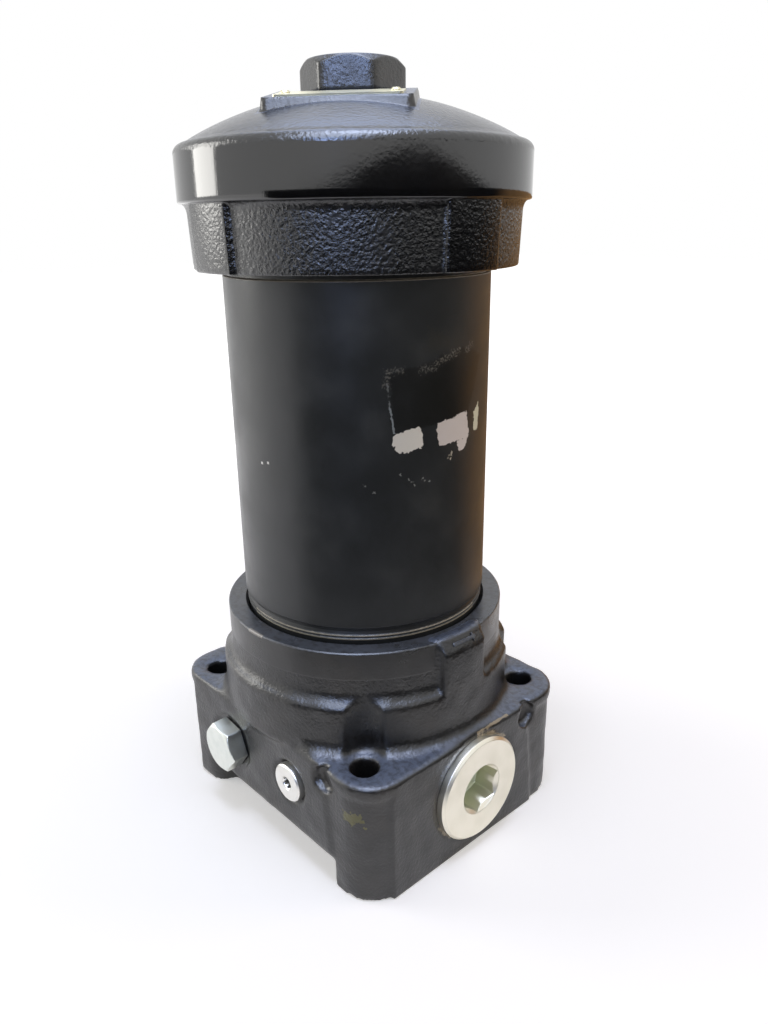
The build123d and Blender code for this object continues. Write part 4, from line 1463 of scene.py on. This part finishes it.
        # Painted shade seen only in reflections: dull black, turning on the right to warm brown, a
        # painted warm reflection that the paint mirrors.
        graph = MaterialGraph("reflection-only shade, warm on the right")
        colour = graph.blend(graph.attribute("brown"), "#1b1a1a", "#cfa36f")
        sheet.data.materials.append(graph.finished(
            {"Base Color": colour, "Roughness": 1.0, "Specular IOR Level": 0.0}))

    def hang_panels(self) -> None:
        """Hangs pale blue square panels that only reflections see, each turned to the cap."""
        square = np.array([(-1, -1, 0), (-1, 1, 0), (1, 1, 0), (1, -1, 0)])
        for name, place, size, glow, colour in self.panels:
            aim = Vector((0.0, 0.0, self.panel_aim_m)) - Vector(place)
            axes = np.array(aim.to_track_quat("-Z", "Y").to_matrix())
            points = square * size / 2 @ axes.T + np.array(place)
            panel = self.mirrored_only(name, points, np.array([[0, 1, 2, 3]]))
            # A bluish glow that gives the gloss its highlights.
            panel.data.materials.append(MaterialGraph("pale blue light panel").finished(
                {"Base Color": "#000000", "Emission Color": colour, "Emission Strength": glow}))

    @staticmethod
    def mirrored_only(name: str, points: np.ndarray, faces: np.ndarray) -> bpy.types.Object:
        """Stage sheet that only reflections see.

        Args:
            name: Name of the sheet.
            points: Its points in metres.
            faces: Its faces.

        Returns:
            The sheet.
        """
        sheet = add_object(name, new_mesh(name, points, faces))
        for kind in ("camera", "diffuse", "transmission", "shadow", "volume_scatter"):
            setattr(sheet, "visible_" + kind, False)
        return sheet

    def light(self) -> None:
        """Hangs the lamps and sets the world: white where it is seen, plain level elsewhere."""
        for name, place, size, power, colour, mirrored in self.lamps:
            data = bpy.data.lights.new(name, "AREA")
            data.shape = "RECTANGLE"
            data.size, data.size_y = size
            data.energy = power
            data.color = linear(colour)[:3]
            lamp = add_object(name, data)
            lamp.location = place
            lamp.visible_glossy = mirrored
            aim = Vector((0.0, 0.0, self.lamp_aim_m)) - Vector(place)
            lamp.rotation_euler = aim.to_track_quat("-Z", "Y").to_euler()
        world = bpy.data.worlds.new("studio")
        bpy.context.scene.world = world
        world.use_nodes = True
        graph = Graph(world.node_tree)
        level = graph.fade(graph.seen_directly(), 0.0, 1.0, self.world_level, 1.0)
        graph.feed(world.node_tree.nodes["Background"], {"Strength": level, "Color": "#ffffff"})

    def build(self) -> None:
        """Puts the floor, lamps and camera in place, with colours shown as written."""
        for step in (self.camera, self.floor, self.dusk, self.hang_panels, self.light):
            step()
        bpy.context.scene.view_settings.view_transform = "Standard"


def dress_inner_nodes() -> None:
    """Gives each CAD node that stays its real finish."""
    finishes = (
        # Dull black of the seals.
        (SoftStuff("nitrile rubber, moulded", "#131313", "#1c1c1b", 0.55, 0.8, 0.02),
         ("bowl_o_ring", "cap_o_ring", "outlet_plug_o_ring", "inlet_plug_o_ring",
          "vent_plug_o_ring", "element_o_ring")),
        # Waxy off-white.
        (SoftStuff("cut PTFE ring", "#dedbd0", "#d2cfc4", 0.5, 1.0, 0.02),
         ("bowl_backup_ring", "cap_backup_ring")),
        # Grey with a soft shine.
        (Metal("turned free-cutting steel", "#a9a9a8", "#8d8c8a", 0.3),
         ("element_spigot", "bypass_cage", "bypass_poppet")),
        # Pale and cloudy.
        (Metal("tinned steel sheet", "#c4c4c0", "#a7a6a1", 0.28, cloud_mm=14.0),
         ("element_lower_cap", "element_upper_cap", "element_core")),
        # Matt cream.
        (SoftStuff("glass fibre pleats, resin bonded", "#e6e0cf", "#d4ccb6", 0.9, 0.7, 0.1),
         ("element_pleats",)),
        # Matt pale grey with a coarse grain.
        (SoftStuff("outer support sleeve, woven fibre", "#d6d8d4", "#bfc2be", 0.8, 1.1, 0.15),
         ("element_outer_wrap",)),
        # Warm yellow shine.
        (Metal("turned brass", "#c9a35a", "#a98443", 0.26), ("bypass_seat",)),
        # Dark grey with an oily shine.
        (Metal("oiled spring wire", "#8a8a88", "#6d6c69", 0.32), ("bypass_spring", "bail_handle")),
        # Near black with a wet edge.
        (SoftStuff("bonded washer, oiled", "#1d1c1b", "#2a2826", 0.45, 1.0, 0.02),
         ("indicator_plug_seal",)),
        # Warm pale plate.
        (Metal("bare aluminium tag", "#e6dfbf", "#cbc29c", 0.3, cloud_mm=12.0),
         ("tag_plate", "tag_rivets")),
    )
    for finish, names in finishes:
        material = finish.material()
        for name in names:
            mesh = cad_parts[name].data
            mesh.materials.clear()
            mesh.materials.append(material)
            LOG.info("%s: %s", name, finish.name)


def stroke(start: tuple[float, float], end: tuple[float, float], width: float, colour: str,
           ragged: float = 0.2, strength: float = 1.0, soft: float = 0.1,
           speckle: float = 0.0) -> TornPatch:
    """Thin straight mark between two places on the flat map.

    Args:
        start: First end.
        end: Other end.
        width: Width of the mark.
        colour: Its colour.
        ragged: How far its edge moves.
        strength: How well it covers.
        soft: Half width of its edge.
        speckle: Size of the holes in it, or nought.

    Returns:
        The mark: its ends moved aside by half its width.
    """
    scale = width / 2 / math.dist(start, end)
    side_x, side_y = (end[1] - start[1]) * scale, (start[0] - end[0]) * scale
    corners = tuple((place[0] + sign * side_x, place[1] + sign * side_y)
                    for place, sign in ((start, 1), (end, 1), (end, -1), (start, -1)))
    return TornPatch(corners, colour, ragged, 1.2, strength, soft, speckle)


def tube_paint() -> TubePaint:
    """Paint of the tube with its torn label's rests, scuffs, a bare ring under the cap and painted
    highlights on the lower thread crests.

    Returns:
        The finish, with its marks in millimetres round the tube and up.
    """
    rubbed = "#77756f"
    soft = {"ragged": 4.0, "strength": 0.6, "soft": 0.7, "speckle": 1.1}
    specks = ((-26.4, 218.2), (-24.6, 216.8), (-23.0, 214.8), (-18.9, 217.7), (-17.8, 216.4),
              (-15.2, 215.7), (-44.0, 213.0), (-31.0, 221.0), (-48.5, 216.5))
    dots = ((-105.8, 223.2), (-101.1, 224.1))
    marks = (
        stroke((-16.0, 285.0), (6.0, 280.0), 9.0, "#33322e", 8.0, 0.7, 2.5),
        TornPatch(((-34.4, 241.5), (12.7, 246.8), (24.2, 273.4), (6.5, 279.1), (-35.5, 270.6)),
                  "#1a1a18", 3.0, 5.0, 0.85, 0.8),
        stroke((-37.6, 264.0), (-36.4, 271.4), 3.2, rubbed, **soft),
        stroke((-37.0, 271.4), (-28.6, 271.8), 2.2, rubbed, **soft),
        stroke((-20.4, 271.0), (-11.0, 272.2), 3.0, rubbed, **soft),
        stroke((-11.0, 273.4), (4.4, 278.4), 2.6, "#827f77", **soft),
        stroke((9.2, 276.8), (15.0, 280.6), 3.0, rubbed, **soft),
        stroke((-36.9, 266.0), (-35.7, 254.9), 0.8, "#8d9193", 1.4, 0.6, 0.25, 1.6),
        stroke((-35.7, 254.9), (-33.6, 241.9), 0.8, "#99a1a6", 1.2, 0.75, 0.25),
        *(Spot((x, z, 0.0), (0.45, 0.35, 1.0), "#8d8f8c", 1.5, 1.0, 0.8) for x, z in specks),
        *(Spot((x, z, 0.0), (0.7, 0.6, 1.0), "#e4e2df", 0.2, 1.0) for x, z in dots),
        # Painted highlights: two bright lines along the lower thread's crests, on the side towards
        # the camera.
        Spot((-50.0, 134.2, 0.0), (75.0, 0.4, 1.0), "#b5ae9f", 0.3, 2.5),
        Spot((-50.0, 132.2, 0.0), (75.0, 0.35, 1.0), "#98917f", 0.3, 2.5),
        Spot((0.0, 312.5, 0.0), (230.0, 0.45, 1.0), "#8d867b", 0.2, 3.0),
    )
    paper = (
        TornPatch(((-34.5, 236.4), (-31.7, 232.4), (-27.5, 231.8), (-20.2, 233.4),
                   (-18.6, 234.1), (-19.6, 242.8), (-21.2, 244.1), (-34.7, 240.9)), "#dcd8cf"),
        TornPatch(((-10.4, 238.6), (-8.7, 232.9), (12.1, 233.0), (13.1, 235.7), (10.5, 247.2),
                   (-10.3, 244.4)), "#cfc7c2"),
        TornPatch(((3.3, 233.5), (4.8, 227.0), (9.1, 227.9), (12.5, 234.0)), "#cfc7c2"),
        TornPatch(((18.1, 245.2), (17.9, 236.2), (20.7, 235.0), (22.9, 235.7), (24.2, 246.3),
                   (22.8, 248.7)), "#cbc8b2"),
        TornPatch(((-4.1, 226.4), (-2.0, 223.0), (0.0, 226.2), (0.3, 228.5)), "#bcb6a6",
                  speckle_mm=1.4),
    )
    return TubePaint("satin black paint on drawn steel tube", marks=marks, paper=paper)


def build_plugs() -> None:
    """Builds the four plugs at their ports, each with its head's underside at its place."""
    # Warm pale plating, with greenish painted shade in the socket.
    zinc = Metal("zinc plate, clear passivated", "#f0ead9", "#dfdac6", 0.3, cloud_mm=14.0,
                 cloud_share=0.35, painted_shade_attribute="painted_socket_shade").material()
    # Bright plating, with grey painted shade in the socket.
    pale = Metal("bright zinc plate on a small plug", "#f1efe9", "#dcd8cc", 0.28,
                 cloud_share=0.3, painted_shade_attribute="painted_socket_shade", painted_shade_colour="#77787a").material()
    # Bright plating with a cool tint.
    bluish = Metal("bright zinc plate on a hexagon plug", "#e9ece4", "#cfd6cf", 0.28,
                   cloud_share=0.35).material()
    face_x, port_z, quarter = 90.7, 38.4, math.pi / 2
    for port, sign in (("outlet", 1), ("inlet", -1)):
        place = (Matrix.Translation((sign * face_x, 0.0, port_z))
                 @ Matrix.Rotation(sign * quarter, 4, "Y"))
        node = port + "_port_plug"
        SocketPlug(node + "_body", node, zinc, place, head_r=30.7, head_h=5.4, chamfer=1.6,
                   neck_r=23.0, neck_h=2.8, thread_r=23.8, thread_len=20.0, socket_af=25.4,
                   socket_depth=15.0, socket_turn=19.6).build()
    side = Matrix.Rotation(quarter, 4, "X")
    vent = Matrix.Translation((25.4, -77.4, 46.5)) @ side
    SocketPlug("vent_plug_body", "vent_plug", pale, vent, head_r=11.0, head_h=4.8, chamfer=0.8,
               neck_r=8.5, neck_h=1.5, thread_r=9.3, thread_len=14.0, socket_af=6.4,
               socket_depth=7.0, turns=144).build()
    HexPlug(bluish, Matrix.Translation((-33.0, -78.4, 42.5)) @ side).build()


def main() -> None:
    """Builds the studio and every sub-assembly in order."""
    Studio().build()
    beige = "#a3957c"
    head_spots = (
        Spot((76.0, -79.2, 51.7), (5.0, 5.0, 3.4), "#6b6718", 6.0, 3.0, 0.6),
        Spot((2.2, -80.5, 130.0), (6.0, 1.4, 1.2), "#8b8680", 0.6, 1.5),
        # Bare machined spot face round the outlet plug, painted in only where it catches the light
        # as two crescents; the rest of the ring keeps the black as painted shade.
        Spot((90.4, 14.0, 65.5), (0.55, 13.0, 7.0), beige, 0.6, 3.0, 0.85),
        Spot((90.4, -25.0, 17.0), (0.55, 8.0, 9.0), beige, 0.6, 3.0, 0.85),
    )
    # Satin black over coarse sand grain, with a few marks, a painted sheen on faces that look up
    # and bright edges of wear and painted highlight.
    head = CastEnamel("black enamel on sand-cast iron", spots=head_spots)
    HeadCasting(head.material()).build()
    # Smoother satin black with a bright edge of wear and painted highlight, and a painted sheen on
    # faces that look up.
    collar = CastEnamel("black enamel on the turned collar", roughness=0.3, grain_depth_mm=0.05,
                        wave_depth_mm=0.08, wear_and_highlight_attribute="wear_and_highlight", wear_and_highlight_strength=0.4,
                        painted_sheen_colour="#555b66", painted_sheen_strength=0.7, spots=head_spots[1:2])
    CollarRing(collar.material()).build()
    # Rubbed grey that lifts the mark off the black.
    mark = CastEnamel("black enamel on a cast mark", paint="#3f444d", wear_and_highlight_strength=0.6)
    FlowArrow(mark.material()).build()
    BowlTube(tube_paint().material()).build()
    # Deep gloss that mirrors the room on the band and breaks up on the skirt, with a faint painted
    # sheen on faces that look up.
    cap = CastEnamel("black enamel on cast cap", paint="#0f1012", dust="#191817",
                     roughness=0.075, specular=1.0, wave_depth_mm=0.03, grain_depth_mm=0.6,
                     grain_mm=1.7, grain_detail=4.0, painted_sheen_strength=0.3,
                     roughness_attribute="rough_casting", line_depth_mm=0.02)
    # Satin black with a finer grain and a painted sheen on faces that look up.
    boss = CastEnamel("black enamel on cast cap boss", roughness=0.28, grain_depth_mm=0.22)
    CapCasting(cap.material(), boss.material()).build()
    build_plugs()
    dress_inner_nodes()


if __name__ == "__main__":
    logging.basicConfig(level=logging.INFO, format="%(name)s %(message)s")
    main()
